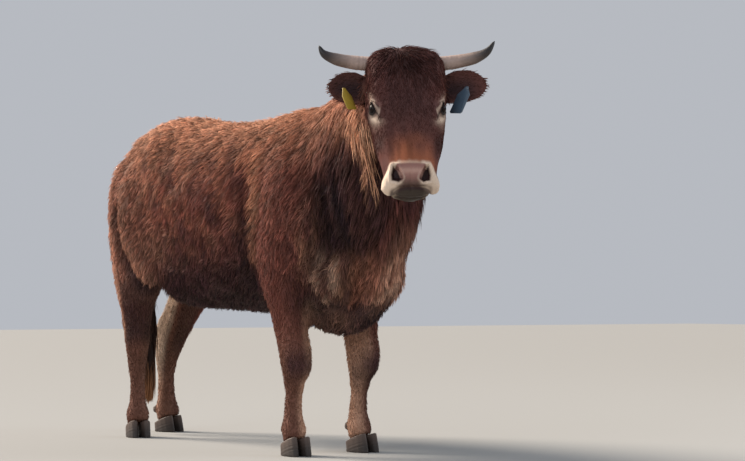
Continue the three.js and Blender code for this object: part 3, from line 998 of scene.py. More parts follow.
MID_FLANK = Furrow(((-0.30, -0.31, 1.10), (-0.34, -0.33, 0.96), (-0.36, -0.31, 0.82)), 0.045, -0.006)
THIGH_RIDGE = Furrow(
    (
        (-0.615, -0.28, 1.10), (-0.600, -0.29, 1.00), (-0.600, -0.29, 0.93), (-0.590, -0.285, 0.865),
        (-0.545, -0.28, 0.80), (-0.490, -0.27, 0.745), (-0.450, -0.24, 0.70),
    ),
    0.034,
    0.022,
)
THIGH_GROOVE = Furrow(
    (
        (-0.690, -0.285, 0.99), (-0.670, -0.285, 0.89), (-0.660, -0.270, 0.82), (-0.630, -0.250, 0.75),
        (-0.560, -0.230, 0.69), (-0.500, -0.190, 0.655),
    ),
    0.034,
    -0.032,
)
SHOULDER_FRONT = Furrow(
    (
        (0.70, -0.20, 1.13), (0.765, -0.21, 1.02), (0.795, -0.225, 0.91), (0.78, -0.225, 0.83),
        (0.735, -0.20, 0.70),
    ),
    0.036,
    0.013,
)
CHEST_HOLLOW = Furrow(
    (
        (0.86, -0.19, 1.06), (0.855, -0.19, 0.98), (0.865, -0.18, 0.90), (0.862, -0.175, 0.82),
        (0.845, -0.18, 0.77),
    ),
    0.036,
    -0.028,
)
BRISKET_GROOVE = Furrow(
    ((0.95, -0.12, 0.76), (0.93, -0.105, 0.715), (0.90, -0.072, 0.642), (0.85, -0.055, 0.566)),
    0.024,
    -0.034,
    RIGHT_ONLY,
)
NECK_RIDGE = Furrow(((1.02, -0.16, 1.12), (1.00, -0.15, 0.90), (0.98, -0.11, 0.76)), 0.030, 0.010)
NECK_GROOVE = Furrow(((0.94, -0.19, 1.20), (0.95, -0.18, 1.02), (0.95, -0.15, 0.84)), 0.018, -0.008)
MANE_RIDGE = Furrow(
    (
        (1.03, -0.18, 1.30), (1.085, -0.175, 1.24), (1.104, -0.17, 1.17), (1.106, -0.158, 1.09),
        (1.098, -0.13, 1.01),
    ),
    0.024,
    0.010,
)
STREAKS = (
    Furrow(
        ((0.005, -0.24, 1.21), (0.011, -0.28, 1.145), (-0.03, -0.30, 1.08), (-0.154, -0.30, 1.01)),
        0.013,
        0.005,
        RIGHT_ONLY,
    ),
    Furrow(((-0.09, -0.30, 1.084), (-0.198, -0.296, 1.013)), 0.013, 0.005, RIGHT_ONLY),
    Furrow(
        ((-0.379, -0.277, 1.115), (-0.485, -0.268, 1.051), (-0.541, -0.282, 0.971)), 0.016, 0.006, RIGHT_ONLY
    ),
    Furrow(((-0.16, -0.25, 1.21), (-0.26, -0.28, 1.13), (-0.36, -0.29, 1.03)), 0.016, 0.005),
)
FURROWS = (
    CREASE,
    SHOULDER_RIDGE,
    MID_FLANK,
    THIGH_RIDGE,
    THIGH_GROOVE,
    SHOULDER_FRONT,
    CHEST_HOLLOW,
    BRISKET_GROOVE,
    NECK_RIDGE,
    NECK_GROOVE,
    MANE_RIDGE,
    *STREAKS,
)
# Shapes of a leg by distance ahead of its centre line, distance from it to either side, and height.
ANY_LEG_RELIEFS = (
    # The groove beside the tendons, the fetlock before and behind, and the pastern.
    Relief(-0.0060, height=Bell(0.215, 0.075), ahead=Bell(-0.010, 0.011), beside=Slope(0.012, 0.024)),
    Relief(0.0040, height=Bell(0.108, 0.022), beside=Slope(0.01, 0.03)),
    Relief(0.0030, height=Bell(0.112, 0.020), ahead=Slope(0.0, -0.03)),
    Relief(-0.0035, height=Bell(0.068, 0.016), ahead=Slope(-0.01, 0.02)),
)
HIND_LEG_RELIEFS = ANY_LEG_RELIEFS + (
    # The point of the hock, the hollow before its tendon, and its inner knuckle.
    Relief(0.0060, height=Bell(0.50, 0.035), ahead=Slope(-0.05, -0.09)),
    Relief(-0.0060, height=Bell(0.53, 0.070), ahead=Bell(-0.055, 0.018), beside=Slope(0.012, 0.03)),
    Relief(0.0050, height=Bell(0.415, 0.035), ahead=Bell(0.01, 0.03), beside=Slope(0.01, 0.03)),
)
FORE_LEG_RELIEFS = ANY_LEG_RELIEFS + (
    # The knee, the dip below it, the bone behind it, and the groove of the forearm.
    Relief(0.0045, height=Bell(0.350, 0.030), ahead=Slope(0.0, 0.03)),
    Relief(-0.0045, height=Bell(0.290, 0.018), ahead=Slope(0.0, 0.03)),
    Relief(0.0050, height=Bell(0.345, 0.025), ahead=Slope(-0.03, -0.05)),
    Relief(-0.0045, height=Bell(0.50, 0.09), ahead=Bell(0.005, 0.014), beside=Slope(0.02, 0.04)),
)


def body_offsets(points: Array, shares: Shares) -> Array:
    """How far muscles, bones and folds move each place of the body outwards along its normal.

    Args:
        points: Places in the model.
        shares: The part of the body that each belongs to.

    Returns:
        Distances in metres.
    """
    local = points - ORIGIN
    total = sum(swelling.height * swelling.near(local) for swelling in SWELLINGS)
    for furrow in FURROWS:
        for side in furrow.sides:
            total += furrow.height * bell(furrow.gap(local, side) / furrow.width)
    total *= 1.0 - shares.head
    lumps = Noise(5).at(local * (1.0, 1.0, 0.55), 0.085) + 0.6 * Noise(6).at(local, 0.042)
    total += 0.0028 * lumps * (shares.trunk + 0.6 * shares.neck)
    total += 0.0040 * Noise(7).at(local * (1.0, 1.0, 0.22), 0.040) * shares.neck
    for leg, share in zip(LEGS, shares.legs):
        ahead, out, height = leg.inward(points).T
        axes = {"ahead": ahead, "beside": np.abs(out), "height": height}
        reliefs = HIND_LEG_RELIEFS if leg.hind else FORE_LEG_RELIEFS
        total += sum(relief.at(axes) for relief in reliefs) * ramp(0.4, 0.9, share)
    return total


class Skin:
    """The single skin over all the flesh.

    Attributes:
        VOXEL: How fine its first mesh is.
        DETAIL: Round each eye and the nose, the distances within which each further round splits the mesh.
    """

    VOXEL = 0.0145
    DETAIL = ((0.070, 0.065), (0.042, 0.050))

    def __init__(self, anatomy: Anatomy) -> None:
        """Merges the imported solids."""
        self.anatomy = anatomy
        self.piece = self.merged()

    def build(self) -> Piece:
        """Shapes the skin, ready to be painted."""
        self.smooth()
        self.refine()
        self.model()
        self.add_ears()
        unwrap(self.piece, 0.002)
        log.info("skin: %d faces", len(self.piece.data.polygons))
        return self.piece

    def merged(self) -> Piece:
        """One closed mesh round all the solids, with the eye sockets filled."""
        parts = [copy_of(node) for node in FLESH]
        tail = parts[FLESH.index("tail")].data
        points = points_of(tail)
        points[:, 0] += 0.030 * ramp(1.36, 1.24, points[:, 2]) * ramp(0.58, 0.80, points[:, 2])
        move_points(tail, points)
        for eye in EYES:
            middle = HEAD.outward(eye.centre[None])[0]
            deselect()
            bpy.ops.mesh.primitive_uv_sphere_add(segments=24, ring_count=16, radius=0.030, location=middle)
            bpy.ops.object.transform_apply(location=True, rotation=True, scale=True)
            parts.append(bpy.context.object)
        whole = named(joined(parts), "skin")
        add_modifier(whole, "DISPLACE", strength=0.0015, mid_level=0.0)
        add_modifier(whole, "REMESH", mode="VOXEL", voxel_size=self.VOXEL, adaptivity=0.0)
        return whole

    def smooth(self) -> None:
        """Takes the steps out of the mesh, runs the parts together and sinks it under the coat."""
        mesh = self.piece.data
        points, edges = points_of(mesh), edges_of(mesh)
        shares = self.anatomy.shares(points)
        everywhere = np.ones(len(points))
        points = relax(points, edges, 5, everywhere)
        body = np.clip(shares.trunk + shares.neck + shares.leg * ramp(0.50, 0.75, points[:, 2]), 0.0, 1.0)
        points = relax(points, edges, 30, body)
        points = relax(points, edges, 6, np.clip(shares.leg + shares.tail, 0.0, 1.0))
        seam = 4.0 * shares.leg * (1.0 - shares.leg) + 4.0 * shares.neck * (1.0 - shares.neck)
        seam += 2.0 * shares.head * (1.0 - shares.head)
        high = ramp(0.45, 0.60, points[:, 2])
        points = relax(points, edges, 14, np.clip(seam * high, 0.0, 1.0), keep=False)
        move_points(mesh, points)
        depth = self.coat_depth(points, shares)
        move_points(mesh, points - normals_of(mesh) * depth[:, None])

    def coat_depth(self, points: Array, shares: Shares) -> Array:
        """How far the skin lies inside the solids at each place."""
        height = points[:, 2]
        ahead = points[:, 0] - ORIGIN[0]
        leg = np.interp(height, (0.0, 0.10, 0.45, 0.60, 0.80), (0.003, 0.004, 0.006, 0.010, 0.013))
        head = 0.0035 + 0.0075 * ramp(0.05, -0.03, HEAD.inward(points)[:, 0])
        neck = 0.016 + 0.014 * ramp(0.70, 0.90, ahead) * ramp(0.98, 0.75, height)
        return shares.mix(trunk=0.013, neck=neck, tail=0.006, leg=leg, head=head)

    def subdivide(self, chosen: Array) -> None:
        """Splits the faces whose corners are all chosen."""
        mesh = self.piece.data
        activate(self.piece)
        bpy.ops.object.mode_set(mode="EDIT")
        bpy.ops.mesh.select_mode(type="VERT")
        bpy.ops.mesh.select_all(action="DESELECT")
        bpy.ops.object.mode_set(mode="OBJECT")
        mesh.vertices.foreach_set("select", chosen)
        bpy.ops.object.mode_set(mode="EDIT")
        bpy.ops.mesh.select_mode(type="VERT")
        bpy.ops.mesh.subdivide(number_cuts=1, smoothness=0.0, ngon=False)
        bpy.ops.object.mode_set(mode="OBJECT")
        points, edges = points_of(mesh), edges_of(mesh)
        flags = np.empty(len(points), bool)
        mesh.vertices.foreach_get("select", flags)
        move_points(mesh, relax(points, edges, 3, flags.astype(float)))

    def refine(self) -> None:
        """Gives the head, and most of all the eyes and nose, a finer mesh."""
        head, local = self.on_head()
        self.subdivide(head & (local[:, 0] > -0.05))
        for round_eye, round_nose in self.DETAIL:
            head, local = self.on_head()
            near = np.min([np.linalg.norm(local - eye.centre, axis=1) for eye in EYES], axis=0)
            nose = (np.abs(local[:, 0] - 0.545) < round_nose) & (local[:, 2] > -0.17)
            self.subdivide(head & ((near < round_eye) | nose))

    def on_head(self) -> tuple[Array, Array]:
        """Which corners of the mesh lie on the head, and where in its frame."""
        points = points_of(self.piece.data)
        return self.anatomy.distance("head", points) < 0.02, HEAD.inward(points)

    def model(self) -> None:
        """Models body and face."""
        mesh = self.piece.data
        points = points_of(mesh)
        shares = self.anatomy.shares(points)
        points = points + normals_of(mesh) * body_offsets(points, shares)[:, None]
        move_points(mesh, points)
        local = HEAD.inward(points)
        face = FaceShape()
        moved = local + (normals_of(mesh) @ HEAD.axes()) * (face.offsets(local) * shares.head)[:, None]
        for eye in EYES:
            moved = face.lids(moved, eye)
        move_points(mesh, HEAD.outward(moved))

    def add_ears(self) -> None:
        """Joins the two ears to the head."""
        for side in SIDES[::-1]:
            leaf = Ear(side).build()
            add_modifier(self.piece, "BOOLEAN", operation="UNION", solver="EXACT", object=leaf)
            bpy.data.objects.remove(leaf)
        mesh = self.piece.data
        points, edges = points_of(mesh), edges_of(mesh)
        local = HEAD.inward(points)
        roots = [np.linalg.norm(local - (0.142, 0.118 * side, -0.126), axis=1) for side in SIDES]
        root = np.min(roots, axis=0)
        points = relax(points, edges, 6, ramp(0.075, 0.045, root), keep=False)
        move_points(mesh, points)
        soften(self.piece)


@dataclass(frozen=True)
class Ear:
    """One ear, a cupped leaf of skin held out from the side of the head.

    Attributes:
        side: 1 on the cow's left and -1 on its right.
        THICKNESS: How thick the leaf is.
        HALF: Half its width from root to tip.
        CURL: How far round its edges are bent, as angles, from root to tip.
    """

    side: float

    THICKNESS = 0.0065
    HALF = ((0.0, 0.12, 0.28, 0.55, 0.78, 0.92, 1.0), (0.034, 0.044, 0.058, 0.069, 0.060, 0.038, 0.010))
    CURL = ((0.0, 0.15, 0.4, 0.8, 1.0), (1.45, 1.25, 0.75, 0.50, 0.35))

    @property
    def spine(self) -> Array:
        """The line from root to tip as three points of a curve, in the head's frame."""
        root = np.array([0.142, 0.100 * self.side, -0.126])
        tip = np.array([0.082, 0.306, -0.114]) if self.side > 0 else np.array([0.096, -0.281, -0.114])
        middle = (root + tip) / 2.0 + (-0.006, 0.0, 0.0)
        return np.stack([root, middle, tip])

    def build(self) -> Piece:
        """Makes the ear as a closed solid."""
        deselect()
        bpy.ops.mesh.primitive_grid_add(x_subdivisions=28, y_subdivisions=18, size=2.0)
        ear = bpy.context.object
        flat = points_of(ear.data)
        move_points(ear.data, HEAD.outward(self.leaf(flat[:, 0], flat[:, 1])))
        add_modifier(ear, "SOLIDIFY", thickness=self.THICKNESS, offset=0.0, use_even_offset=False)
        add_modifier(ear, "SUBSURF", levels=1)
        outwards(ear)
        return ear

    def leaf(self, along: Array, across: Array) -> Array:
        """Places on the ear's middle surface.

        Args:
            along: -1 at the root and 1 at the tip.
            across: -1 at the lower edge and 1 at the upper edge.

        Returns:
            Places in the head's frame.
        """
        share = (along + 1.0) / 2.0
        far = share[:, None]
        root, middle, tip = self.spine
        line = (1 - far) ** 2 * root + 2 * far * (1 - far) * middle + far**2 * tip
        forward = unit(2 * (1 - far) * (middle - root) + 2 * far * (tip - middle))
        opening = unit(np.array([0.10, -0.12 * self.side, 1.0]))
        opening = unit(opening - forward * (forward @ opening)[:, None])
        up = np.cross(opening, forward) * self.side
        curl = np.interp(share, *self.CURL)
        angle = across * curl
        arc = np.interp(share, *self.HALF) / np.maximum(curl, 0.1)
        sweep = up * (np.sin(angle) * arc * np.maximum(curl / np.sin(np.minimum(curl, 1.5)), 1.0))[:, None]
        cup = opening * ((1.0 - np.cos(angle)) * arc)[:, None]
        return line + sweep + cup - opening * 0.006


# -------------------- Markings --------------------


class Hue(Enum):
    """The colours of hide and coat, some of them also laid as painted shade and a painted highlight."""

    RUSSET = (130, 78, 67)
    GOLD = (190, 138, 108)
    PLUM = (72, 47, 53)
    SHADE = (36, 29, 37)
    TAN = (196, 148, 124)
    ROSE = (186, 118, 102)
    HONEY = (226, 172, 138)
    SHANK = (110, 74, 62)
    INNER = (204, 160, 134)
    FOREHEAD = (76, 49, 47)
    CHEEK = (88, 54, 49)
    BRIDGE = (146, 86, 60)
    CREAM = (216, 194, 174)
    RING = (176, 148, 132)
    PAD = (146, 106, 98)
    # A painted highlight across the wet nose.
    SHINE = (200, 162, 148)
    LIP = (58, 50, 42)
    CHIN = (124, 114, 98)
    PIT = (40, 20, 22)
    RIM = (30, 21, 20)
    EAR_INSIDE = (54, 36, 38)
    EAR_BACK = (108, 66, 58)
    SWITCH = (48, 33, 30)
    SWITCH_END = (150, 104, 72)

    @property
    def light(self) -> Array:
        """The colour as linear light."""
        return linear(*self.value)


@dataclass
class Spot:
    """A set of places on the hide with what is known about each."""

    points: Array
    normals: Array
    shares: Shares

    def __post_init__(self) -> None:
        """Works out the places in the frames of body and head."""
        self.local = self.points - ORIGIN
        self.face = HEAD.inward(self.points)
        self.facing = self.normals @ HEAD.axes()
        across = np.abs(self.face[:, 1])
        near = ramp(0.26, 0.22, self.face[:, 0]) * ramp(-0.10, -0.06, self.face[:, 0])
        self.ear = ramp(0.150, 0.165, across) * near * (self.shares.head > 0.3)

    def chosen(self, mask: Array) -> "Spot":
        """Some of the places."""
        return Spot(self.points[mask], self.normals[mask], Shares(self.shares.parts[mask]))

    @property
    def on_head(self) -> Array:
        """Which places lie on the head."""
        return self.shares.head > 0.5


@dataclass
class Painting:
    """Colours laid one over another, one row for each place."""

    colour: Array

    @classmethod
    def begun(cls, hue: Hue, count: int) -> "Painting":
        """A painting of one hue all over."""
        return cls(np.tile(hue.light, (count, 1)))

    def lay(self, hue: Hue, share: Array) -> None:
        """Lays a hue over the colours by a share for each place."""
        self.colour = blend(self.colour, hue.light, share)

    def shade(self, factor: Array | Triple, share: Array) -> None:
        """Multiplies the colours, as far as a share for each place says."""
        self.colour = self.colour * blend(np.ones(3), np.array(factor, float), share)


class Mark:
    """A hue laid wherever its fades leave some of it."""

    def __init__(self, hue: Hue, on: dict[str, float], **fades: Fade | tuple[Fade, ...]) -> None:
        """Notes a mark.

        Args:
            hue: Its colour.
            on: How strong it is on each part of the body that has it.
            fades: How it fades along each measure.
        """
        self.hue = hue
        self.on = on
        self.fades = fades

    def lay(self, painting: Painting, axes: Axes) -> None:
        """Lays the mark over a painting."""
        strength = sum(amount * axes[part] for part, amount in self.on.items())
        painting.lay(self.hue, faded(strength, axes, self.fades))


def near_to(furrow: Furrow, width: float) -> Fade:
    """A fade to both sides of a furrow."""
    return lambda local: furrow.near(local, width)


def on_body(amount: float) -> dict[str, float]:
    """The same strength everywhere on the body."""
    return {"all": amount}


def on_trunk(amount: float) -> dict[str, float]:
    """A strength on the trunk alone."""
    return {"trunk": amount}


# The lighter back and rump, painted shade low on the trunk and under the head, the coat's waves, and the dark
# neck.
BACK_MARKS = (
    # Gold up the back: partly paler hair tips, partly painted light from above.
    Mark(Hue.GOLD, {"trunk": 0.80, "neck": 0.60, "leg": 0.70}, height=Slope(1.04, 1.36)),
    Mark(Hue.TAN, on_trunk(0.42), ahead=Slope(-0.20, -0.60), height=Slope(0.82, 1.05)),
    Mark(Hue.TAN, {"hind": 0.35}, height=Slope(0.56, 0.64)),
    # Painted shade: plum over the lower trunk, less towards the rear.
    Mark(Hue.PLUM, on_trunk(0.75), height=Slope(1.02, 0.70), ahead=Slope(-0.85, -0.45)),
    # Painted shade on the lowest part of the trunk.
    Mark(Hue.SHADE, on_trunk(0.80), height=Slope(0.88, 0.60)),
    # The coat's waves: plum and gold streaks, partly painted shade in their gaps and painted light on their
    # ridges.
    Mark(Hue.PLUM, on_trunk(1.0), flow=Part(-0.8, 0.7), height=Slope(1.36, 1.15)),
    Mark(Hue.GOLD, on_trunk(1.0), flow=Part(0.35, 0.5), height=Slope(0.72, 0.95)),
    Mark(Hue.PLUM, {"neck": 1.0}, strand=Slope(0.1, -0.5, 0.55, 0.85), height=Slope(1.38, 1.15)),
    # Painted shade on the sides of the front of the neck, below the head.
    Mark(
        Hue.SHADE,
        {"neck": 0.62},
        height=Slope(1.25, 1.15),
        ahead=Slope(0.84, 0.93),
        across=Slope(0.04, 0.11),
    ),
)
# Neck, chest and the front edge of the shoulder: painted shade in the chest's hollow and low on the neck's
# groove, and pale hair, partly painted light, on the shoulder's front edge.
CHEST_MARKS = (
    Mark(Hue.GOLD, {"neck": 1.0}, strand=Part(0.5, 0.5), height=Slope(1.15, 1.35)),
    # Painted shade in the chest's hollow.
    Mark(Hue.SHADE, on_body(0.90), local=near_to(CHEST_HOLLOW, 0.075)),
    # Painted shade along the neck's groove, low down.
    Mark(Hue.SHADE, on_body(0.92), local=near_to(NECK_GROOVE, 0.042), height=Slope(1.12, 1.02)),
    # Pale hair down the shoulder's front edge: partly painted light on its hairs.
    Mark(
        Hue.HONEY,
        on_body(0.60),
        local=near_to(SHOULDER_FRONT, 0.030),
        height=Bell(0.83, 0.10),
        strand=Slope(-0.5, 0.3),
    ),
)
# The brisket's pale tufts lie on its right and middle, and its underside and the armpit are dark with painted
# shade.
BRISKET = {
    "ahead": Slope(0.74, 0.85),
    "height": (Slope(0.84, 0.74), Slope(0.575, 0.615)),
    "strand": Slope(-0.4, 0.5, 0.30, 1.0),
    "front": Slope(0.2, 0.5),
}
BRISKET_MARKS = (
    Mark(Hue.GOLD, on_body(0.50), **BRISKET),
    Mark(Hue.ROSE, on_body(0.45), left=Slope(-0.12, -0.04), **BRISKET),
    Mark(Hue.CREAM, on_body(0.50), fair=Part(1.0, 1.0), strand=Slope(-0.3, 0.6)),
    Mark(Hue.TAN, on_trunk(0.30), ahead=Bell(0.79, 0.07), left=Bell(-0.09, 0.07), height=Slope(0.60, 0.56)),
    # Painted shade in the armpit.
    Mark(
        Hue.SHADE,
        {"trunk": 0.60, "leg": 0.60},
        ahead=Bell(0.70, 0.05),
        height=Bell(0.59, 0.06),
        left=Slope(-0.05, -0.10),
    ),
    Mark(
        Hue.INNER, on_body(0.26), left=Slope(-0.06, 0.02), ahead=Slope(0.80, 0.92), height=Slope(0.98, 0.86)
    ),
    # Painted shade below the point of the shoulder.
    Mark(Hue.SHADE, on_trunk(0.45), ahead=Bell(0.78, 0.06), height=Bell(0.87, 0.08)),
)
# Flank, shoulder and thigh, with painted light along their ridges and painted shade in their folds.
SIDE_MARKS = (
    Mark(Hue.TAN, on_trunk(0.65), ahead=Bell(-0.44, 0.15), height=Bell(0.835, 0.075)),
    Mark(Hue.TAN, on_trunk(0.25), ahead=Bell(0.58, 0.09), height=Bell(1.04, 0.10)),
    # Along the shoulder's ridge: partly paler hair, partly painted light where the ridge stands out.
    Mark(Hue.HONEY, on_body(0.55), local=near_to(SHOULDER_RIDGE, 0.026), height=Bell(1.03, 0.12)),
    Mark(Hue.GOLD, on_body(0.45), local=near_to(SHOULDER_RIDGE, 0.032)),
    # Painted shade in the crease behind the shoulder.
    Mark(Hue.SHADE, on_body(1.0), local=near_to(CREASE, 0.050), height=Slope(1.0, 0.88, 0.20, 0.60)),
    # Along the thigh's ridge: partly light-tipped hair, partly painted light.
    Mark(Hue.TAN, on_body(0.72), local=near_to(THIGH_RIDGE, 0.030), height=Slope(0.64, 0.72)),
    # Painted shade in the groove below and behind the thigh's ridge.
    Mark(Hue.SHADE, on_body(0.80), local=near_to(THIGH_GROOVE, 0.040)),
    # Painted light on the ridges of the coat's streaks.
    *(Mark(Hue.TAN, on_body(0.45), local=near_to(streak, 0.013)) for streak in STREAKS),
    Mark(Hue.SHANK, {"leg": 1.0}, height=Slope(0.62, 0.34)),
)
# One leg's own marks, by distance ahead of its centre line, outwards from it, and height.
LEG_MARKS = {
    "fore_right": (),
    # Painted shade on the front of the left fore leg below the knee.
    "fore_left": (Mark(Hue.SHADE, {"limb": 0.55}, height=Bell(0.31, 0.06), forward=Slope(-0.01, 0.02)),),
    "hind_right": (
        # Painted shade on the right hind leg's gaskin, most of all at its front.
        Mark(
            Hue.SHADE,
            {"limb": 0.70},
            height=(Slope(0.38, 0.47), Slope(0.74, 0.66)),
            forward=Slope(-0.04, 0.02),
        ),
    ),
    "hind_left": (
        # Cream down the back edge of the left hind leg: partly paler hair, partly painted light on its sunlit
        # edge.
        Mark(
            Hue.CREAM,
            {"limb": 0.92},
            out=Slope(0.015, -0.020),
            height=Slope(0.16, 0.42),
            forward=Slope(0.030, -0.006),
        ),
        # Painted shade on the upper front of the left hind leg.
        Mark(
            Hue.SHADE,
            {"limb": 0.60},
            out=Slope(0.030, -0.010),
            height=Slope(0.30, 0.42),
            forward=Slope(0.025, 0.055),
        ),
    ),
}
# The fore knees, painted light down the back of the thighs, and the tail.
LAST_MARKS = (
    Mark(Hue.PLUM, {"fore": 0.75}, height=Bell(0.355, 0.055), ahead=Slope(0.61, 0.65)),
    # Painted light: tan down the back of the thighs, where their edge catches the light.
    Mark(Hue.TAN, {"trunk": 0.55, "leg": 0.55}, ahead=Slope(-0.70, -0.86), height=Slope(0.60, 0.72)),
    Mark(Hue.PLUM, {"tail": 0.35}),
    Mark(Hue.SWITCH, {"tail": 1.0}, height=Slope(0.90, 0.65)),
)


class Markings:
    """Where each colour lies, the same for the skin and the coat on it.

    Attributes:
        PAD_SIDE: The side edge of the bare nose, by distance down the face.
        MUZZLE_EDGE: The upper edge of the cream muzzle, by distance from the middle of the face.
    """

    PAD_SIDE = ((0.490, 0.501, 0.527, 0.545, 0.556, 0.566), (0.0660, 0.0590, 0.0440, 0.0370, 0.0340, 0.0420))
    MUZZLE_EDGE = ((0.066, 0.0745, 0.082, 0.0905, 0.103, 0.115), (0.480, 0.484, 0.494, 0.512, 0.532, 0.540))

    def __init__(self) -> None:
        """Sets up the fields of chance."""
        self.patches = Noise(11)
        self.streaks = Noise(12)
        self.slope = np.array(Matrix.Rotation(math.radians(-38.0), 3, "Y")) @ np.diag([1.0, 1.0, 0.30])
        self.shape = FaceShape()

    def pad(self, spot: Spot) -> Array:
        """How far each place is bare nose."""
        down, left, out = spot.face.T
        across = np.abs(left)
        top = 0.4935 + 0.9 * np.clip(across - 0.050, 0.0, 0.1)
        side = np.interp(down, *self.PAD_SIDE) + 0.003 * self.patches.at(spot.face, 0.010)
        inside = ramp(top - 0.004, top + 0.004, down) * ramp(side + 0.006, side - 0.005, across)
        return inside * ramp(-0.128, -0.118, out) * spot.on_head

    def nostrils(self, spot: Spot, which: int = 0) -> Array:
        """How deep in a nostril each place is, or with which at 1 how near its rim."""
        return np.maximum(*(self.shape.nostril(spot.face, side)[which] for side in SIDES))

    def pits(self, spot: Spot) -> Array:
        """How deep in a nostril each place of the head is."""
        return self.nostrils(spot) * spot.on_head

    def mouth(self, spot: Spot) -> Array:
        """How near the line between the lips each place is."""
        down, left, out = spot.face.T
        across = np.abs(left)
        front = bell((down - self.shape.parting(left) - 0.002) / 0.0055) * ramp(0.084, 0.066, across)
        beside = bell((out + 0.126) / 0.007) * ramp(0.46, 0.50, down) * ramp(0.055, 0.068, across)
        return np.maximum(front, beside) * spot.on_head * ramp(-0.150, -0.140, out)

    def lip(self, spot: Spot) -> Array:
        """How far each place belongs to the lower lip."""
        down, left = spot.face[:, 0], spot.face[:, 1]
        inside = ramp(0.001, 0.008, down - self.shape.parting(left)) * ramp(0.086, 0.066, np.abs(left))
        return inside * spot.on_head

    def slits(self, spot: Spot) -> Array:
        """Distance from the nearer slit of the eyes: 1 at its edge."""
        shape = np.minimum(*(eye.opening(spot.face) for eye in EYES))
        return np.where(spot.on_head, shape, FAR)

    def bare(self, spot: Spot) -> Array:
        """How far each place has no hair at all."""
        inside = ramp(1.10, 0.95, self.slits(spot))
        kinds = [self.pad(spot), self.pits(spot), 0.9 * self.mouth(spot), 0.8 * self.lip(spot), inside]
        return np.clip(np.max(kinds, axis=0), 0.0, 1.0)

    def head(self, spot: Spot) -> Array:
        """The colours of the face."""
        down, left, out = spot.face.T
        across = np.abs(left)
        painting = Painting.begun(Hue.FOREHEAD, len(down))
        painting.lay(Hue.CHEEK, 0.8 * np.clip(ramp(0.10, 0.135, across) + ramp(-0.08, -0.11, out), 0.0, 1.0))
        painting.lay(Hue.CHEEK, ramp(0.24, 0.40, down))
        uneven = 0.03 * self.patches.at(spot.face, 0.05)
        painting.lay(Hue.BRIDGE, ramp(0.35, 0.49, down + uneven) * ramp(0.105, 0.045, across + uneven))
        # Painted shade: the side of the face darker and redder, darker still low on the cheek.
        shaded_cheek = ramp(0.078, 0.100, across) * ramp(0.26, 0.32, down)
        painting.shade((0.92, 0.78, 0.76), shaded_cheek)
        painting.shade((0.50, 0.50, 0.50), shaded_cheek * bell((down - 0.392) / 0.042))
        painting.shade((1.60, 1.50, 1.45), bell((across - 0.094) / 0.024) * bell((down - 0.195) / 0.060))
        parting = ramp(0.065, 0.030, across) * ramp(0.16, 0.10, down) * ramp(0.0, 0.05, down)
        painting.shade((0.62, 0.62, 0.62), parting)
        painting.colour *= (1.0 + 0.26 * self.streaks.at(spot.face * (0.16, 1.0, 1.0), 0.011))[:, None]
        shape = self.slits(spot)
        self.round_eyes(spot, painting, shape)
        self.muzzle(spot, painting)
        painting.lay(Hue.RIM, ramp(1.17, 1.04, shape))
        return painting.colour

    def muzzle(self, spot: Spot, painting: Painting) -> None:
        """Paints the cream muzzle, the bare nose with a painted highlight, and the lips, with painted shade
        at the mouth and in the nostrils.
        """
        down, left, out = spot.face.T
        across = np.abs(left)
        edge = np.interp(across, *self.MUZZLE_EDGE) + 0.004 * self.patches.at(spot.face, 0.012)
        cream = ramp(edge - 0.006, edge + 0.010, down)
        painting.lay(Hue.CREAM, cream * (1.0 - 0.55 * ramp(0.056, 0.030, across)))
        painting.lay(Hue.CHIN, 0.8 * cream * ramp(-0.112, -0.140, out))
        nose = Painting.begun(Hue.PAD, len(down))
        # A painted highlight across the nose.
        nose.lay(Hue.SHINE, 0.60 * bell((down - 0.519) / 0.010))
        painting.colour = blend(painting.colour, nose.colour, self.pad(spot))
        # Painted shade in lip colour low on the nose above the mouth.
        painting.lay(Hue.LIP, 0.72 * ramp(0.534, 0.560, down) * ramp(0.060, 0.034, across))
        painting.lay(Hue.CREAM, 0.60 * bell((down - 0.5555) / 0.0050) * bell((across - 0.0410) / 0.0090))
        painting.lay(Hue.CREAM, 0.35 * self.nostrils(spot, 1) * ramp(0.515, 0.54, down))
        painting.lay(Hue.LIP, 0.92 * self.lip(spot))
        # Painted shade along the line between the lips, and deep in the nostrils.
        painting.lay(Hue.PIT, np.clip(self.mouth(spot), 0.0, 0.80))
        painting.lay(Hue.PIT, np.clip(1.5 * self.pits(spot), 0.0, 1.0))

    def round_eyes(self, spot: Spot, painting: Painting, shape: Array) -> None:
        """Paints the pale hair round the eyes.

        Args:
            spot: The places.
            painting: Their colours so far.
            shape: Their distances from the nearer slit.
        """
        ragged = 0.12 * self.patches.at(spot.face, 0.012)
        for eye in EYES:
            along, up, _, reach = eye.view(spot.face)
            near = ramp(0.120, 0.085, reach) * (spot.face[:, 1] * eye.side > 0.0)
            upper = bell((shape - 1.30 + 0.5 * ragged) / 0.19) * ramp(-0.006, 0.004, up)
            length = (along - 0.034) * 0.93 + (up + 0.017) * 0.36
            breadth = (up + 0.017) * 0.93 - (along - 0.034) * 0.36
            under = bell(np.hypot(length / 0.030, breadth / 0.0115) + ragged)
            trail = bell(np.hypot((along - 0.050) / 0.030, (up + 0.028) / 0.020) + ragged)
            brow = bell(np.hypot((along + 0.040) / 0.026, (up - 0.018) / 0.013) + ragged)
            painting.lay(Hue.RING, near * np.clip(0.55 * brow + 0.30 * trail, 0.0, 1.0))
            painting.lay(Hue.CREAM, near * np.clip(0.50 * upper + 0.85 * under, 0.0, 0.85))
            run = bell((up - 0.003 + 0.06 * (along - 0.03)) / 0.0032)
            run = run * ramp(0.020, 0.025, along) * ramp(0.055, 0.038, along)
            painting.lay(Hue.RIM, near * 0.80 * run)

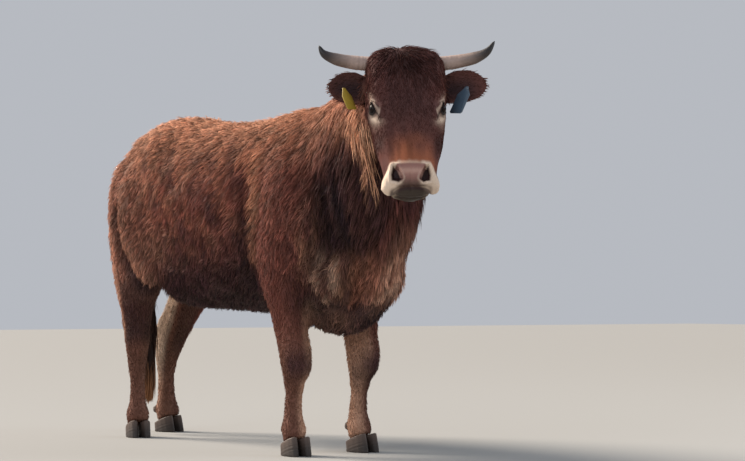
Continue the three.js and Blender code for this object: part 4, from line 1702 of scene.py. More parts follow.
    def ears(self, spot: Spot) -> Array:
        """The colours of the ears."""
        inside = ramp(0.05, 0.55, spot.facing[:, 2])
        middle = bell((spot.face[:, 0] - 0.112) / 0.050) * ramp(0.31, 0.22, np.abs(spot.face[:, 1]))
        colour = np.tile(Hue.EAR_BACK.light, (len(inside), 1))
        return blend(colour, Hue.EAR_INSIDE.light, inside * (0.25 + 0.75 * middle))

    def body_axes(self, spot: Spot) -> Axes:
        """What the marks of the body are measured by."""
        ahead, left, height = spot.local.T
        shares = spot.shares
        sloped = spot.local @ self.slope
        return {
            "local": spot.local,
            "ahead": ahead,
            "left": left,
            "across": np.abs(left),
            "height": height,
            "flow": self.streaks.at(sloped, 0.030) + 0.6 * self.patches.at(sloped, 0.060),
            "strand": self.streaks.at(spot.local * (1.0, 1.0, 0.14), 0.028),
            "front": shares.trunk + shares.neck,
            "all": np.ones(len(ahead)),
            "trunk": shares.trunk,
            "neck": shares.neck,
            "leg": shares.leg,
            "fore": shares.leg * (ahead > 0.0),
            "hind": shares.leg * (ahead < 0.0),
            "tail": shares.tail,
        }

    def body(self, spot: Spot) -> Array:
        """The colours of trunk, neck, legs and tail."""
        axes = self.body_axes(spot)
        height, strand = axes["height"], axes["strand"]
        painting = Painting.begun(Hue.RUSSET, len(height))
        for mark in BACK_MARKS:
            mark.lay(painting, axes)
        mane = MANE_RIDGE.near(spot.local, 0.016 + 0.046 * ramp(1.21, 1.29, height)) * ramp(-0.6, 0.2, strand)
        painting.lay(Hue.HONEY, np.clip(1.1 * mane, 0.0, 0.95) * axes["front"])
        for mark in CHEST_MARKS:
            mark.lay(painting, axes)
        brisket = faded(1.0, axes, {name: BRISKET[name] for name in ("ahead", "height")})
        left = axes["left"]
        axes["fair"] = brisket * (ramp(-0.03, 0.04, left) + 0.8 * bell((left + 0.185) / 0.035))
        for mark in BRISKET_MARKS + SIDE_MARKS:
            mark.lay(painting, axes)
        for limb, share in zip(LEGS, spot.shares.legs):
            forward, out, _ = limb.inward(spot.points).T
            axes.update(limb=share, forward=forward, out=out)
            painting.lay(Hue.INNER, 0.80 * self.inner(limb, axes))
            for mark in LEG_MARKS[limb.name]:
                mark.lay(painting, axes)
        for mark in LAST_MARKS:
            mark.lay(painting, axes)
        return painting.colour

    def inner(self, limb: Leg, axes: Axes) -> Array:
        """How far each place lies on the pale inner side of a leg, or on the back of a hind leg, pale there
        partly as painted light.
        """
        share, forward, height = axes["limb"], axes["forward"], axes["height"]
        inner = ramp(0.012, -0.028, axes["out"]) * share * ramp(0.78, 0.66, height)
        if not limb.hind:
            return inner
        # The back of a hind leg: partly pale hair, partly painted light on its sunlit edge.
        back = 0.7 * ramp(-0.005, -0.045, forward) * share * ramp(0.80, 0.60, height)
        high = Slope(0.36, 0.48, 0.45, 1.0)(height)
        return np.maximum(inner, back) * high * Slope(0.020, -0.020, 0.30, 1.0)(forward)

    def at(self, spot: Spot) -> Array:
        """The colour of each place as linear light."""
        head = ramp(0.30, 0.70, spot.shares.head)
        colour = blend(self.body(spot), self.head(spot), head)
        colour = blend(colour, self.ears(spot), spot.ear)
        mottle = 0.10 * self.patches.at(spot.local, 0.07) + 0.06 * self.patches.at(spot.local + 3.0, 0.22)
        return colour * (1.0 + mottle * (1.0 - self.bare(spot)))[:, None]


# -------------------- The coat --------------------


@dataclass
class Tufts:
    """Any number of tufts, each value one to a row.

    Attributes:
        CORNERS: The angle of each corner round a tuft.
        THICK: How thick a tuft is for its width.
        PATCH: How wide each tuft's patch of the atlas is.
        SUNK: How far its root lies in the skin.
        TAPER: Its width from root to tip.
    """

    root: Array
    normal: Array
    lie: Array
    length: Array
    width: Array
    lift: Array
    curl: Array
    droop: Array
    dark: Array
    light: Array
    atlas: Array

    CORNERS = (90.0, 210.0, 330.0)
    THICK = 0.30
    PATCH = 0.003
    SUNK = 0.0015
    TAPER = ((0.0, 0.35, 0.70, 1.0), (0.70, 1.0, 0.72, 0.2))

    def chosen(self, mask: Array) -> "Tufts":
        """Some of the tufts."""
        return Tufts(**{name: value[mask] for name, value in vars(self).items()})

    def build(self, name: str, rings: int, chance: np.random.Generator) -> Piece:
        """Makes the tufts as closed, three-sided, pointed solids.

        Args:
            name: The piece's name.
            rings: How many rings of points each has below its tip.
            chance: Where its random numbers come from.

        Returns:
            The piece.
        """
        count = len(self.root)
        side = unit(np.cross(self.normal, self.lie))
        phase = chance.uniform(0.0, 2.0 * np.pi, count)
        bend = chance.choice([-1.0, 1.0], count) * self.curl
        shares = np.linspace(0.0, 1.0, rings + 1)
        centres = [self.centre(share, side, phase, bend) for share in shares]
        levels = []
        for number, share in enumerate(shares[:-1]):
            heading = unit(centres[number + 1] - centres[max(number - 1, 0)])
            flat = flat_on(heading, side)
            tall = np.cross(heading, flat)
            wide = self.width * np.interp(share, *self.TAPER)
            for angle in np.radians(self.CORNERS):
                across = flat * (0.5 * wide * math.cos(angle))[:, None]
                upwards = tall * (self.THICK * wide * math.sin(angle))[:, None]
                levels.append(centres[number] + across + upwards)
        levels.append(centres[-1])
        points = np.stack(levels, axis=1).reshape(-1, 3)
        loops, starts, places = self.faces(rings)
        all_loops = (loops[None, :] + len(levels) * np.arange(count)[:, None]).ravel()
        all_starts = (starts[None, :] + len(loops) * np.arange(count)[:, None]).ravel()
        piece = mesh_from(name, points, all_loops, all_starts)
        layer = piece.data.uv_layers.new(name=ATLAS)
        patch = self.atlas[:, None, :] + (places[None, :, :] - 0.5) * self.PATCH
        layer.data.foreach_set("uv", np.clip(patch, 0.0, 1.0).astype(np.float32).ravel())
        level = np.append(np.repeat(shares[:-1], 3), 1.0) ** 0.8
        tints = self.dark[:, None, :] + (self.light - self.dark)[:, None, :] * level[None, :, None]
        paint(piece.data, TINT, tints.reshape(-1, 3))
        return piece

    def centre(self, share: float, side: Array, phase: Array, bend: Array) -> Array:
        """The middle of every tuft at one share of its length."""
        rise = self.lift * (2.0 * share - share * share)
        wave = bend * (math.sin(math.pi * share) + 0.5 * share * np.sin(phase))
        line = self.lie * share + self.normal * rise[:, None] + side * wave[:, None]
        line = line + DOWN * (self.droop * share * share)[:, None]
        return self.root - self.normal * self.SUNK + line * self.length[:, None]

    @staticmethod
    def faces(rings: int) -> tuple[Array, Array, Array]:
        """The faces of one tuft.

        Args:
            rings: How many rings of three points it has.

        Returns:
            Its corners, where each face begins, and where each corner lies on its patch.
        """
        loops: list[int] = [0, 1, 2]
        starts = [0]
        places: list[tuple[float, float]] = [(0.0, 0.0), (0.33, 0.0), (0.67, 0.0)]
        for ring in range(rings):
            low, high = ring / rings, (ring + 1) / rings
            for corner in range(3):
                first = ring * 3 + corner
                second = ring * 3 + (corner + 1) % 3
                starts.append(len(loops))
                left, right = corner / 3.0, (corner + 1) / 3.0
                if ring + 1 < rings:
                    loops += [second, first, first + 3, second + 3]
                    places += [(right, low), (left, low), (left, high), (right, high)]
                else:
                    loops += [second, first, rings * 3]
                    places += [(right, low), (left, low), ((left + right) / 2.0, high)]
        return np.array(loops), np.array(starts), np.array(places)


@dataclass(frozen=True)
class Profile:
    """A value that changes along the body: stops, and the value at each."""

    stops: tuple[float, ...]
    values: tuple[float, ...]

    def __call__(self, place: Array) -> Array:
        """Reads the value."""
        return np.interp(place, self.stops, self.values)


LEG_STOPS = (0.0, 0.12, 0.40, 0.60, 0.85)
# Tufts to a square metre, and their length and width, up the legs by height and down the face.
LEG_DENSITY = Profile((0.0, 0.10, 0.45, 0.65, 0.85), (34000, 32000, 23000, 14500, 11500))
LEG_LENGTH = Profile(LEG_STOPS, (0.012, 0.014, 0.020, 0.027, 0.031))
LEG_WIDTH = Profile(LEG_STOPS, (0.0024, 0.0027, 0.0034, 0.0039, 0.0041))
FACE_DENSITY = Profile((-0.05, 0.05, 0.20, 0.40, 0.50), (18000, 22000, 44000, 54000, 56000))
FACE_LENGTH = Profile(
    (-0.05, 0.03, 0.10, 0.22, 0.40, 0.50, 0.57), (0.038, 0.038, 0.028, 0.017, 0.012, 0.006, 0.0045)
)
FACE_WIDTH = Profile((-0.05, 0.10, 0.22, 0.40, 0.50), (0.0036, 0.0033, 0.0030, 0.0027, 0.0016))
# How much of their length the tufts keep near the slit of an eye.
SLIT_LENGTH = Profile((1.0, 2.0, 3.5), (0.35, 0.6, 1.0))


class Coat:
    """Sows tufts over the skin and combs them.

    Attributes:
        IN_LOCK: How many tufts share a lock.
        LOCK_REACH: How far from a lock's middle its outer tufts stand.
        EAR_DENSITY: Tufts to a square metre of ear.
        WIDEST: How far out the trunk's tufts begin to lie flatter, and how far out they lie flattest.
    """

    IN_LOCK = 10
    LOCK_REACH = 0.014
    EAR_DENSITY = 15000
    WIDEST = (0.27, 0.30)

    def __init__(self, skin: Piece, anatomy: Anatomy, markings: Markings) -> None:
        """Reads the skin."""
        self.markings = markings
        self.chance = np.random.default_rng(7)
        mesh = skin.data
        mesh.calc_loop_triangles()
        self.corners = listed(mesh.loop_triangles, "vertices", 3, np.int32)
        loops = listed(mesh.loop_triangles, "loops", 3, np.int32)
        self.atlas = listed(mesh.uv_layers[ATLAS].data, "uv", 2)[loops]
        self.points = points_of(mesh)
        self.normals = normals_of(mesh)
        self.shares = anatomy.shares(self.points)
        first, second, third = (self.points[self.corners[:, number]] for number in range(3))
        self.areas = np.linalg.norm(np.cross(second - first, third - first), axis=1) / 2.0

    def spot(self, faces: Array, mixes: Array) -> Spot:
        """What is known about places inside faces of the skin.

        Args:
            faces: The triangle of each place.
            mixes: The weights of its three corners.

        Returns:
            The places.
        """
        corner, weights = self.corners[faces], mixes[:, :, None]
        values = (self.points, self.normals, self.shares.parts)
        points, normals, parts = (np.sum(value[corner] * weights, axis=1) for value in values)
        return Spot(points, unit(normals), Shares(parts))

    def density(self, spot: Spot) -> Array:
        """Tufts to a square metre at each place."""
        height = spot.local[:, 2]
        total = spot.shares.mix(
            trunk=14000,
            neck=14500,
            tail=16000 + 14000 * ramp(0.85, 0.62, height),
            leg=LEG_DENSITY(height),
            head=FACE_DENSITY(spot.face[:, 0]),
        )
        total = np.where(spot.ear > 0.5, self.EAR_DENSITY, total)
        return total * (self.markings.bare(spot) < 0.5)

    def sow(self) -> tuple[Spot, Array]:
        """Chooses a root for every tuft.

        Returns:
            The roots, and where each lies on the flat skin.
        """
        thirds = np.full((len(self.corners), 3), 1.0 / 3.0)
        middle = self.spot(np.arange(len(self.corners)), thirds)
        sums = np.cumsum(self.areas * self.density(middle))
        count = int(sums[-1])
        aims = (np.arange(count) + self.chance.random(count)) / count * sums[-1]
        faces = np.minimum(np.searchsorted(sums, aims), len(sums) - 1)
        first, second = self.chance.random((2, count))
        over = first + second > 1.0
        first[over], second[over] = 1.0 - first[over], 1.0 - second[over]
        mixes = np.stack([1.0 - first - second, first, second], axis=1)
        places = np.sum(self.atlas[faces] * mixes[:, :, None], axis=1)
        spot = self.spot(faces, mixes)
        kept = self.markings.bare(spot) < 0.5
        return spot.chosen(kept), places[kept]

    def lie(self, spot: Spot) -> Array:
        """Which way the hair lies at each place."""
        local, normals = spot.local, spot.normals
        full = np.ones(len(local))
        high = ramp(1.15, 1.34, local[:, 2])
        trunk = blend(np.array([-0.62, 0.0, -0.78]), np.array([-0.95, 0.0, -0.25]), 0.5 * high)
        trunk[:, 1] += 0.35 * np.sign(local[:, 1]) * high
        neck = np.stack([-0.12 * full, normals[:, 1] * 0.8, -full], axis=1)
        down, left = spot.face[:, 0], spot.face[:, 1]
        face = np.stack([full, left * 3.0, -0.1 * full], axis=1)
        whorl = np.stack([(down + 0.02) * 14.0, (left + 0.018) * 14.0, -0.1 * full], axis=1)
        head = HEAD.turned(blend(face, whorl, ramp(0.15, 0.06, down)))
        ear = HEAD.turned(np.stack([0.15 * full, np.sign(left), 0.15 * full], axis=1))
        limbs = spot.shares.leg[:, None] * (-0.18, 0.0, -1.0) + spot.shares.tail[:, None] * (-0.15, 0.0, -1.0)
        total = trunk * spot.shares.trunk[:, None] + neck * spot.shares.neck[:, None] + limbs
        total = blend(total + head * spot.shares.head[:, None], ear, spot.ear)
        return flat_on(normals, total)

    def combed(self, spot: Spot) -> Array:
        """The lie with the waves of an uneven coat."""
        lie = self.lie(spot)
        side = np.cross(spot.normals, lie)
        loose = spot.shares.mix(
            trunk=0.50,
            neck=0.18,
            leg=0.25 * ramp(0.5, 0.8, spot.local[:, 2]),
            head=0.25 * ramp(0.30, 0.05, spot.face[:, 0]),
        )
        angle = loose * (Noise(21).at(spot.local, 0.065) + 1.1 * Noise(22).at(spot.local, 0.026))
        angle += (0.05 + 0.12 * loose) * self.chance.normal(size=len(lie))
        return lie * np.cos(angle)[:, None] + side * np.sin(angle)[:, None]

    def measure(self, spot: Spot) -> dict[str, Array]:
        """Length, width, lift, curl and droop at each place."""
        shares, local, ear = spot.shares, spot.local, spot.ear
        height, down = local[:, 2], spot.face[:, 0]
        belly = ramp(0.68, 0.58, height) * shares.trunk
        brisket = ramp(0.78, 0.92, local[:, 0]) * ramp(0.98, 0.78, height) * (shares.trunk + shares.neck)
        fringe = THIGH_RIDGE.near(local, 0.030) * shares.trunk
        fringe = fringe * (ramp(0.95, 0.85, height) + 1.2 * ramp(0.79, 0.72, height))
        jaw = ramp(-0.14, -0.19, spot.face[:, 2]) * ramp(0.50, 0.40, down)
        face = FACE_LENGTH(down) * SLIT_LENGTH(self.markings.slits(spot)) + 0.014 * jaw
        length = shares.mix(trunk=0.040, neck=0.066, tail=0.020, leg=LEG_LENGTH(height), head=face)
        length += 0.014 * fringe - 0.012 * belly - 0.022 * brisket
        width = shares.mix(
            trunk=0.0037, neck=0.0036, tail=0.0036, leg=LEG_WIDTH(height), head=FACE_WIDTH(down)
        )
        face = 0.14 + 0.05 * ramp(0.16, 0.04, down) - 0.02 * ramp(0.3, 0.5, down)
        lift = shares.mix(trunk=0.28, neck=0.20, tail=0.20, leg=0.28, head=face) + 0.02 * brisket
        curl = shares.mix(trunk=0.11, neck=0.035, leg=0.06, head=0.05)
        droop = shares.mix(trunk=0.12, neck=0.30) + 0.15 * brisket + 0.35 * fringe
        length = length * (1.0 - ear) + 0.017 * ear
        width = width * (1.0 - ear) + 0.0027 * ear
        temple = ramp(0.085, 0.115, np.abs(spot.face[:, 1])) * ramp(0.14, 0.06, down)
        temple = shares.head * temple * (1.0 - ear)
        switch = shares.tail * ramp(0.85, 0.62, height) * (1.0 - ear)
        edge = ear * ramp(0.55, 0.15, np.abs(spot.facing[:, 2]))
        length = length * (1.0 - 0.35 * temple) + 0.050 * switch + 0.008 * edge
        lift = lift * (1.0 - 0.45 * temple) + 0.20 * switch + 0.12 * edge
        return {"length": length, "width": width, "lift": lift, "curl": curl, "droop": droop}

    def grow(self) -> tuple[Tufts, Spot]:
        """Makes every tuft of the coat.

        Returns:
            The tufts, and the places that they grow from.
        """
        spot, atlas = self.sow()
        count = len(atlas)
        shares, height = spot.shares, spot.local[:, 2]
        lie = self.combed(spot)
        sizes = self.measure(spot)
        uneven = 1.0 + 0.12 * Noise(23).at(spot.local, 0.05)
        sizes["length"] *= self.chance.uniform(0.70, 1.15, count) * uneven
        sizes["width"] *= self.chance.uniform(0.75, 1.20, count)
        sizes["lift"] *= self.chance.uniform(0.55, 1.45, count)
        sizes["lift"] *= 1.0 - 0.45 * shares.trunk * ramp(*self.WIDEST, np.abs(spot.local[:, 1]))
        lock, offset = self.locks(spot)
        poll = shares.head * ramp(0.22, 0.10, spot.face[:, 0]) * (1.0 - spot.ear)
        shaggy = np.maximum(shares.shaggy(height, 0.55), poll)
        calm = shares.head * (1.0 - shaggy)
        pull = (0.62 - 0.25 * shares.head) * shaggy
        lie = flat_on(spot.normals, lie * sizes["length"][:, None] + offset * pull[:, None])
        per_lock = np.random.default_rng(31).normal(size=(lock.max() + 1, 2))[lock, 0]
        tone = 1.0 + 0.22 * per_lock * shaggy + (0.15 - 0.04 * calm) * self.chance.normal(size=count)
        outer = np.linalg.norm(offset, axis=1) / self.LOCK_REACH
        sizes["lift"] *= 1.0 + 0.5 * shaggy * ramp(1.0, 0.2, outer)
        # Tufts at the rim of a lock are painted darker: painted shade in the gaps between locks.
        tone = np.clip(tone * (1.0 - 0.30 * shaggy * ramp(0.6, 1.4, outer)), 0.40, 1.6)
        colour = self.markings.at(spot) * tone[:, None]
        # Each tuft runs from a dark root to a lighter, warmer tip: partly the coat's own paler tips, partly
        # painted shade deep in the coat and painted light on it.
        warm = blend(np.ones(3), np.array([1.06, 1.00, 0.97]), 0.6 * shaggy)
        light = colour * (1.28 + 0.30 * shaggy - 0.12 * calm)[:, None] * warm
        dark = colour * (0.52 - 0.16 * shaggy + 0.28 * calm)[:, None]
        return Tufts(spot.points, spot.normals, lie, dark=dark, light=light, atlas=atlas, **sizes), spot

    def mane(self, tufts: Tufts, spot: Spot) -> Tufts:
        """Picks roots beside the jaw and gives them long hanging strands.

        Args:
            tufts: The whole coat.
            spot: The roots of its tufts.

        Returns:
            The strands.
        """
        chance = np.random.default_rng(71)
        height = spot.local[:, 2]
        reach = 0.016 + 0.030 * ramp(1.18, 1.28, height)
        likely = MANE_RIDGE.near(spot.local, reach) * (spot.shares.neck > 0.5)
        likely = likely * ramp(1.04, 1.24, height) * ramp(1.31, 1.26, height)
        picks = np.flatnonzero(chance.random(len(height)) < 0.75 * likely)
        strands = tufts.chosen(picks)
        count = len(picks)
        rows = height[picks]
        lie = np.stack([0.15 + 0.45 * ramp(1.12, 1.27, rows), np.zeros(count), np.full(count, -1.0)], axis=1)
        strands.lie = flat_on(strands.normal, lie + 0.07 * chance.normal(size=lie.shape))
        tone = chance.uniform(0.10, 1.35, count)[:, None]
        strands.length = np.minimum(chance.uniform(0.09, 0.17, count), 1.1 * (rows - 0.97))
        strands.width = chance.uniform(0.0030, 0.0046, count)
        strands.lift = chance.uniform(0.05, 0.13, count)
        strands.curl = chance.uniform(0.01, 0.05, count)
        strands.droop = chance.uniform(0.05, 0.20, count)
        strands.dark = Hue.HONEY.light * tone * 0.45
        strands.light = Hue.HONEY.light * tone * 1.25
        return strands

    def locks(self, spot: Spot) -> tuple[Array, Array]:
        """Gathers the roots into locks.

        Args:
            spot: The roots.

        Returns:
            The lock of each, and the way from each to the middle of its lock.
        """
        count = len(spot.points)
        centres = np.sort(self.chance.choice(count, count // self.IN_LOCK, replace=False))
        tree = KDTree(len(centres))
        for number, place in enumerate(spot.points[centres].tolist()):
            tree.insert(place, number)
        tree.balance()
        found = np.array([tree.find(place)[1] for place in spot.points.tolist()])
        return found, spot.points[centres][found] - spot.points


# -------------------- Finishes --------------------


@dataclass(frozen=True)
class Hide:
    """The skin: a matt hide with fine short hair, wet where it is bare."""

    roughness: float = 0.80
    wet: float = 0.32

    def material(self) -> bpy.types.Material:
        """Builds the material."""
        graph = Graph("hide")
        split = graph.node("ShaderNodeSeparateColor", None, Color=graph.attribute(BARE))
        bare = Signal(graph, split.outputs[0])
        fur = 1.0 - bare
        streaks = graph.noise(graph.stretched(700.0, 700.0, 160.0), 1.0)
        settings = {"feature": "DISTANCE_TO_EDGE"}
        pores = graph.node("ShaderNodeTexVoronoi", settings, Vector=graph.place(), Scale=260.0)
        cells = Signal(graph, pores.outputs["Distance"]).between(0.0, 0.25)
        mottle = graph.noise(graph.place(), 90.0)
        return graph.surface(
            Base_Color=graph.tinted(streaks * 0.5 * fur + 0.75 + bare * 0.25),
            Roughness=fur * (self.roughness - self.wet) + self.wet + (mottle - 0.5) * 0.16,
            Normal=graph.bump(streaks * fur + cells * bare * 0.6, 0.0012, 0.7),
            Specular_IOR_Level=0.22,
        )


@dataclass(frozen=True)
class Fur:
    """Tufts of hair: matt, with a soft gold edge."""

    name: str
    roughness: float = 0.62
    sheen: float = 0.10
    specular: float = 0.12

    def material(self) -> bpy.types.Material:
        """Builds the material."""
        graph = Graph(self.name)
        strands = graph.noise(graph.stretched(900.0, 900.0, 240.0), 1.0)
        return graph.surface(
            Base_Color=graph.tinted(strands * 0.45 + 0.78),
            Roughness=self.roughness,
            Normal=graph.bump(strands, 0.0006, 0.5),
            Specular_IOR_Level=self.specular,
            Sheen_Weight=self.sheen,
            Sheen_Roughness=0.45,
            Sheen_Tint=linear(236, 190, 140),
        )


@dataclass(frozen=True)
class Keratin:
    """Horn or hoof: painted along its growth, with fine lines across it."""

    name: str
    scale: Triple
    roughness: float = 0.45
    depth: float = 0.0005

    def material(self) -> bpy.types.Material:
        """Builds the material."""
        graph = Graph(self.name)
        lines = graph.noise(graph.stretched(*self.scale), 1.0, 3.0)
        cloud = graph.noise(graph.place(), 38.0, 3.0)
        colour = graph.tinted(lines * 0.35 + cloud * 0.35 + 0.65)
        rough = cloud * 0.25 + (self.roughness - 0.10)
        return graph.surface(Base_Color=colour, Roughness=rough, Normal=graph.bump(lines, self.depth, 0.8))


@dataclass(frozen=True)
class Gloss:
    """The wet ball of an eye."""

    def material(self) -> bpy.types.Material:
        """Builds the material."""
        graph = Graph("eye")
        return graph.surface(
            Base_Color=graph.tinted(graph.noise(graph.place(), 700.0) * 0.5 + 0.75),
            Roughness=0.35,
            Specular_IOR_Level=0.08,
            Coat_Weight=0.06,
            Coat_Roughness=0.06,
        )


@dataclass(frozen=True)
class Plastic:
    """A bare ear tag of soft plastic, a little scuffed."""

    name: str
    colour: tuple[int, int, int]

    def material(self) -> bpy.types.Material:
        """Builds the material."""
        graph = Graph(self.name)
        scuffs = graph.noise(graph.place(), 60.0, 4.0)
        clean = linear(*self.colour)
        colour = graph.mix(scuffs.between(0.45, 0.75) * 0.35, clean, clean * 0.62)
        return graph.surface(Base_Color=colour, Roughness=scuffs * 0.25 + 0.35)


@dataclass(frozen=True)
class Ground:
    """The plain pale floor."""

    colour: tuple[int, int, int] = (152, 152, 150)

    def material(self) -> bpy.types.Material:
        """Builds the material."""
        return Graph("floor").surface(Base_Color=linear(*self.colour), Roughness=0.9)


# -------------------- Smaller pieces --------------------


def ball(segments: int, rings: int) -> Piece:
    """A closed round primitive of radius 1 at the origin."""
    deselect()
    bpy.ops.mesh.primitive_uv_sphere_add(segments=segments, ring_count=rings, radius=1.0)
    piece = bpy.context.object
    bpy.ops.object.shade_smooth()
    return piece


def through(stops: Array, share: Array) -> Array:
    """Places on a smooth curve that passes through given points.

    Args:
        stops: The points, one to a row.
        share: How far along, from 0 to 1.

    Returns:
        The places.
    """
    ends = np.vstack([2 * stops[0] - stops[1], stops, 2 * stops[-1] - stops[-2]])
    spot = np.clip(share, 0.0, 1.0) * (len(stops) - 1)
    first = np.minimum(spot.astype(int), len(stops) - 2)
    part = (spot - first)[:, None]
    before, start, end, after = (ends[first + step] for step in range(4))
    line = 2 * start + (end - before) * part
    line = line + (2 * before - 5 * start + 4 * end - after) * part**2
    return (line + (3 * start - before - 3 * end + after) * part**3) / 2.0


# Millimetres in the head's frame, from the root to the tip of each horn.
HORN_STOPS = {
    -1.0: (
        (22, -105, -84), (21, -155, -82), (19, -205, -75), (22, -255, -52), (14, -299, -30), (-14, -319, -15)
    ),
    1.0: ((22, 105, -84), (20, 155, -82), (16, 205, -75), (15, 262, -54), (4, 306, -30), (-34, 336, -15)),
}


@dataclass(frozen=True)
class Horn:
    """One horn, ringed where it grows and dark at its tip.

    Attributes:
        WIDTH: Its radius along its length.
        DARKENS: Where it turns darker along its length.
        COLOURS: The colour at each of those places.
    """

    node: str
    side: float

    WIDTH = ((0.0, 0.02, 0.30, 0.60, 0.80, 0.96, 1.0), (0.0, 0.0265, 0.0265, 0.0225, 0.0145, 0.0055, 0.0))
    DARKENS = (0.0, 0.40, 0.58, 0.74, 0.86)
    COLOURS = ((176, 154, 144), (164, 142, 132), (118, 102, 95), (52, 44, 44), (22, 19, 21))

    def build(self) -> Piece:
        """Makes the horn."""
        horn = ball(40, 72)
        round_ = points_of(horn.data)
        share = 1.0 - np.arccos(np.clip(round_[:, 2], -1.0, 1.0)) / np.pi
        stops = np.array(HORN_STOPS[self.side]) / 1000.0
        ahead = unit(through(stops, share + 0.01) - through(stops, share - 0.01))
        first = unit(np.cross(ahead, np.array([1.0, 0.0, 0.0])))
        second = np.cross(ahead, first)
        angle = np.arctan2(round_[:, 1], round_[:, 0])
        radius = np.interp(share, *self.WIDTH)
        rings = np.sin(share * 120.0 + 1.5 * np.sin(share * 37.0)) * ramp(0.62, 0.15, share) * 0.0006
        flute = np.sin(angle * 7.0 + share * 5.0) * 0.0003 * ramp(0.9, 0.3, share)
        radius = radius + (rings + flute) * (radius > 0.002)
        outer = (first * np.cos(angle)[:, None] + second * np.sin(angle)[:, None]) * radius[:, None]
        move_points(horn.data, HEAD.outward(through(stops, share) + outer))
        outwards(horn)
        tones = np.array([linear(*colour) for colour in self.COLOURS])
        tint = np.stack([np.interp(share, self.DARKENS, tones[:, axis]) for axis in range(3)], axis=1)
        paint(horn.data, TINT, tint)
        return named(horn, f"{self.node}_sheath")


@dataclass(frozen=True)
class EyeBall:
    """One eyeball with a dark iris and a long level pupil."""

    node: str
    eye: Eye

    def build(self) -> Piece:
        """Makes the eyeball."""
        globe = ball(64, 48)
        round_ = points_of(globe.data)
        along, up = round_[:, 0], round_[:, 1]
        spread = np.hypot(along, up)
        front = round_[:, 2] > 0
        radius = self.eye.radius + 0.0012 * ramp(0.62, 0.30, spread) * front
        move_points(globe.data, HEAD.outward(self.eye.centre + (round_ * radius[:, None]) @ self.eye.axes))
        outwards(globe)
        pupil = np.hypot(along / 0.40, up / 0.22)
        tint = np.tile(linear(30, 21, 18), (len(spread), 1))
        for colour, share in (
            ((28, 18, 15), ramp(0.90, 0.80, spread)),
            ((15, 10, 10), ramp(0.60, 0.74, spread) * ramp(0.90, 0.84, spread)),
            ((9, 8, 9), ramp(1.1, 0.9, pupil)),
        ):
            tint = blend(tint, linear(*colour), share * front)
        paint(globe.data, TINT, tint)
        return named(globe, f"{self.node}_ball")


@dataclass(frozen=True)
class Toes:
    """The claws or dewclaws of one foot.

    Attributes:
        leg: The leg that they stand on.
        nodes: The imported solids.
        name: The piece's name.
        voxel: How fine its mesh is.
        inset: How far each is drawn in towards the leg.
    """

    leg: Leg
    nodes: tuple[str, ...]
    name: str
    voxel: float
    inset: float = 0.0

    def build(self) -> Piece:
        """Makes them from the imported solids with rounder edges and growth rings."""
        toes = joined([voxelled(node, self.voxel) for node in self.nodes])
        points = smoothed(toes, 14)
        if self.inset:
            forward, _ = self.leg.axis(points[:, 2])
            points[:, 0] += self.inset * np.sign(forward - points[:, 0])
        move_points(toes.data, points)
        local = (np.array(self.leg.foot_matrix().inverted().to_3x3()) @ points.T).T
        level = points[:, 2] - 0.30 * (local[:, 0] - local[:, 0].mean())
        walls = ramp(0.5, 0.2, np.abs(normals_of(toes.data)[:, 2]))
        rings = np.sin(level * 620.0 + 2.0 * np.sin(level * 140.0)) * 0.00045 * walls
        points = points + normals_of(toes.data) * rings[:, None]
        points[:, 2] = np.maximum(points[:, 2], 0.0)
        move_points(toes.data, points)
        soften(toes)
        outwards(toes)
        low = np.tile(linear(46, 38, 34), (len(level), 1))
        paint(toes.data, TINT, blend(low, linear(84, 68, 60), ramp(0.0, 0.07, level)))
        return named(toes, self.name)


@dataclass(frozen=True)
class Tag:
    """One ear tag."""

    node: str
    finish: Plastic

    def build(self) -> Piece:
        """Makes the tag with softened edges."""
        tag = copy_of(self.node)
        limit = {"limit_method": "ANGLE", "angle_limit": math.radians(40.0)}
        add_modifier(tag, "BEVEL", width=0.0006, segments=2, **limit)
        activate(tag)
        bpy.ops.object.shade_smooth_by_angle(angle=math.radians(35.0))
        outwards(tag)
        return named(tag, f"{self.node}_plate")


class Udder:
    """The udder and its teats."""

    def build(self) -> Piece:
        """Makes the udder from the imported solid."""
        udder = voxelled("udder", 0.005)
        points = smoothed(udder, 12)
        lumps = Noise(41).at(points, 0.035) * 0.0012
        crease = bell((points[:, 1] - ORIGIN[1]) / 0.012) * -0.006 * ramp(0.66, 0.63, points[:, 2])
        move_points(udder.data, points + normals_of(udder.data) * (lumps + crease)[:, None])
        soften(udder)
        outwards(udder)
        teat = ramp(0.628, 0.605, points[:, 2])
        tint = blend(np.tile(linear(176, 134, 118), (len(points), 1)), linear(158, 112, 100), teat)
        paint(udder.data, TINT, tint * (1.0 + 0.12 * Noise(42).at(points, 0.03))[:, None])
        bare = np.zeros((len(points), 3))
        bare[:, 0] = 0.6 + 0.3 * teat
        paint(udder.data, BARE, bare)
        return named(udder, "udder_bag")


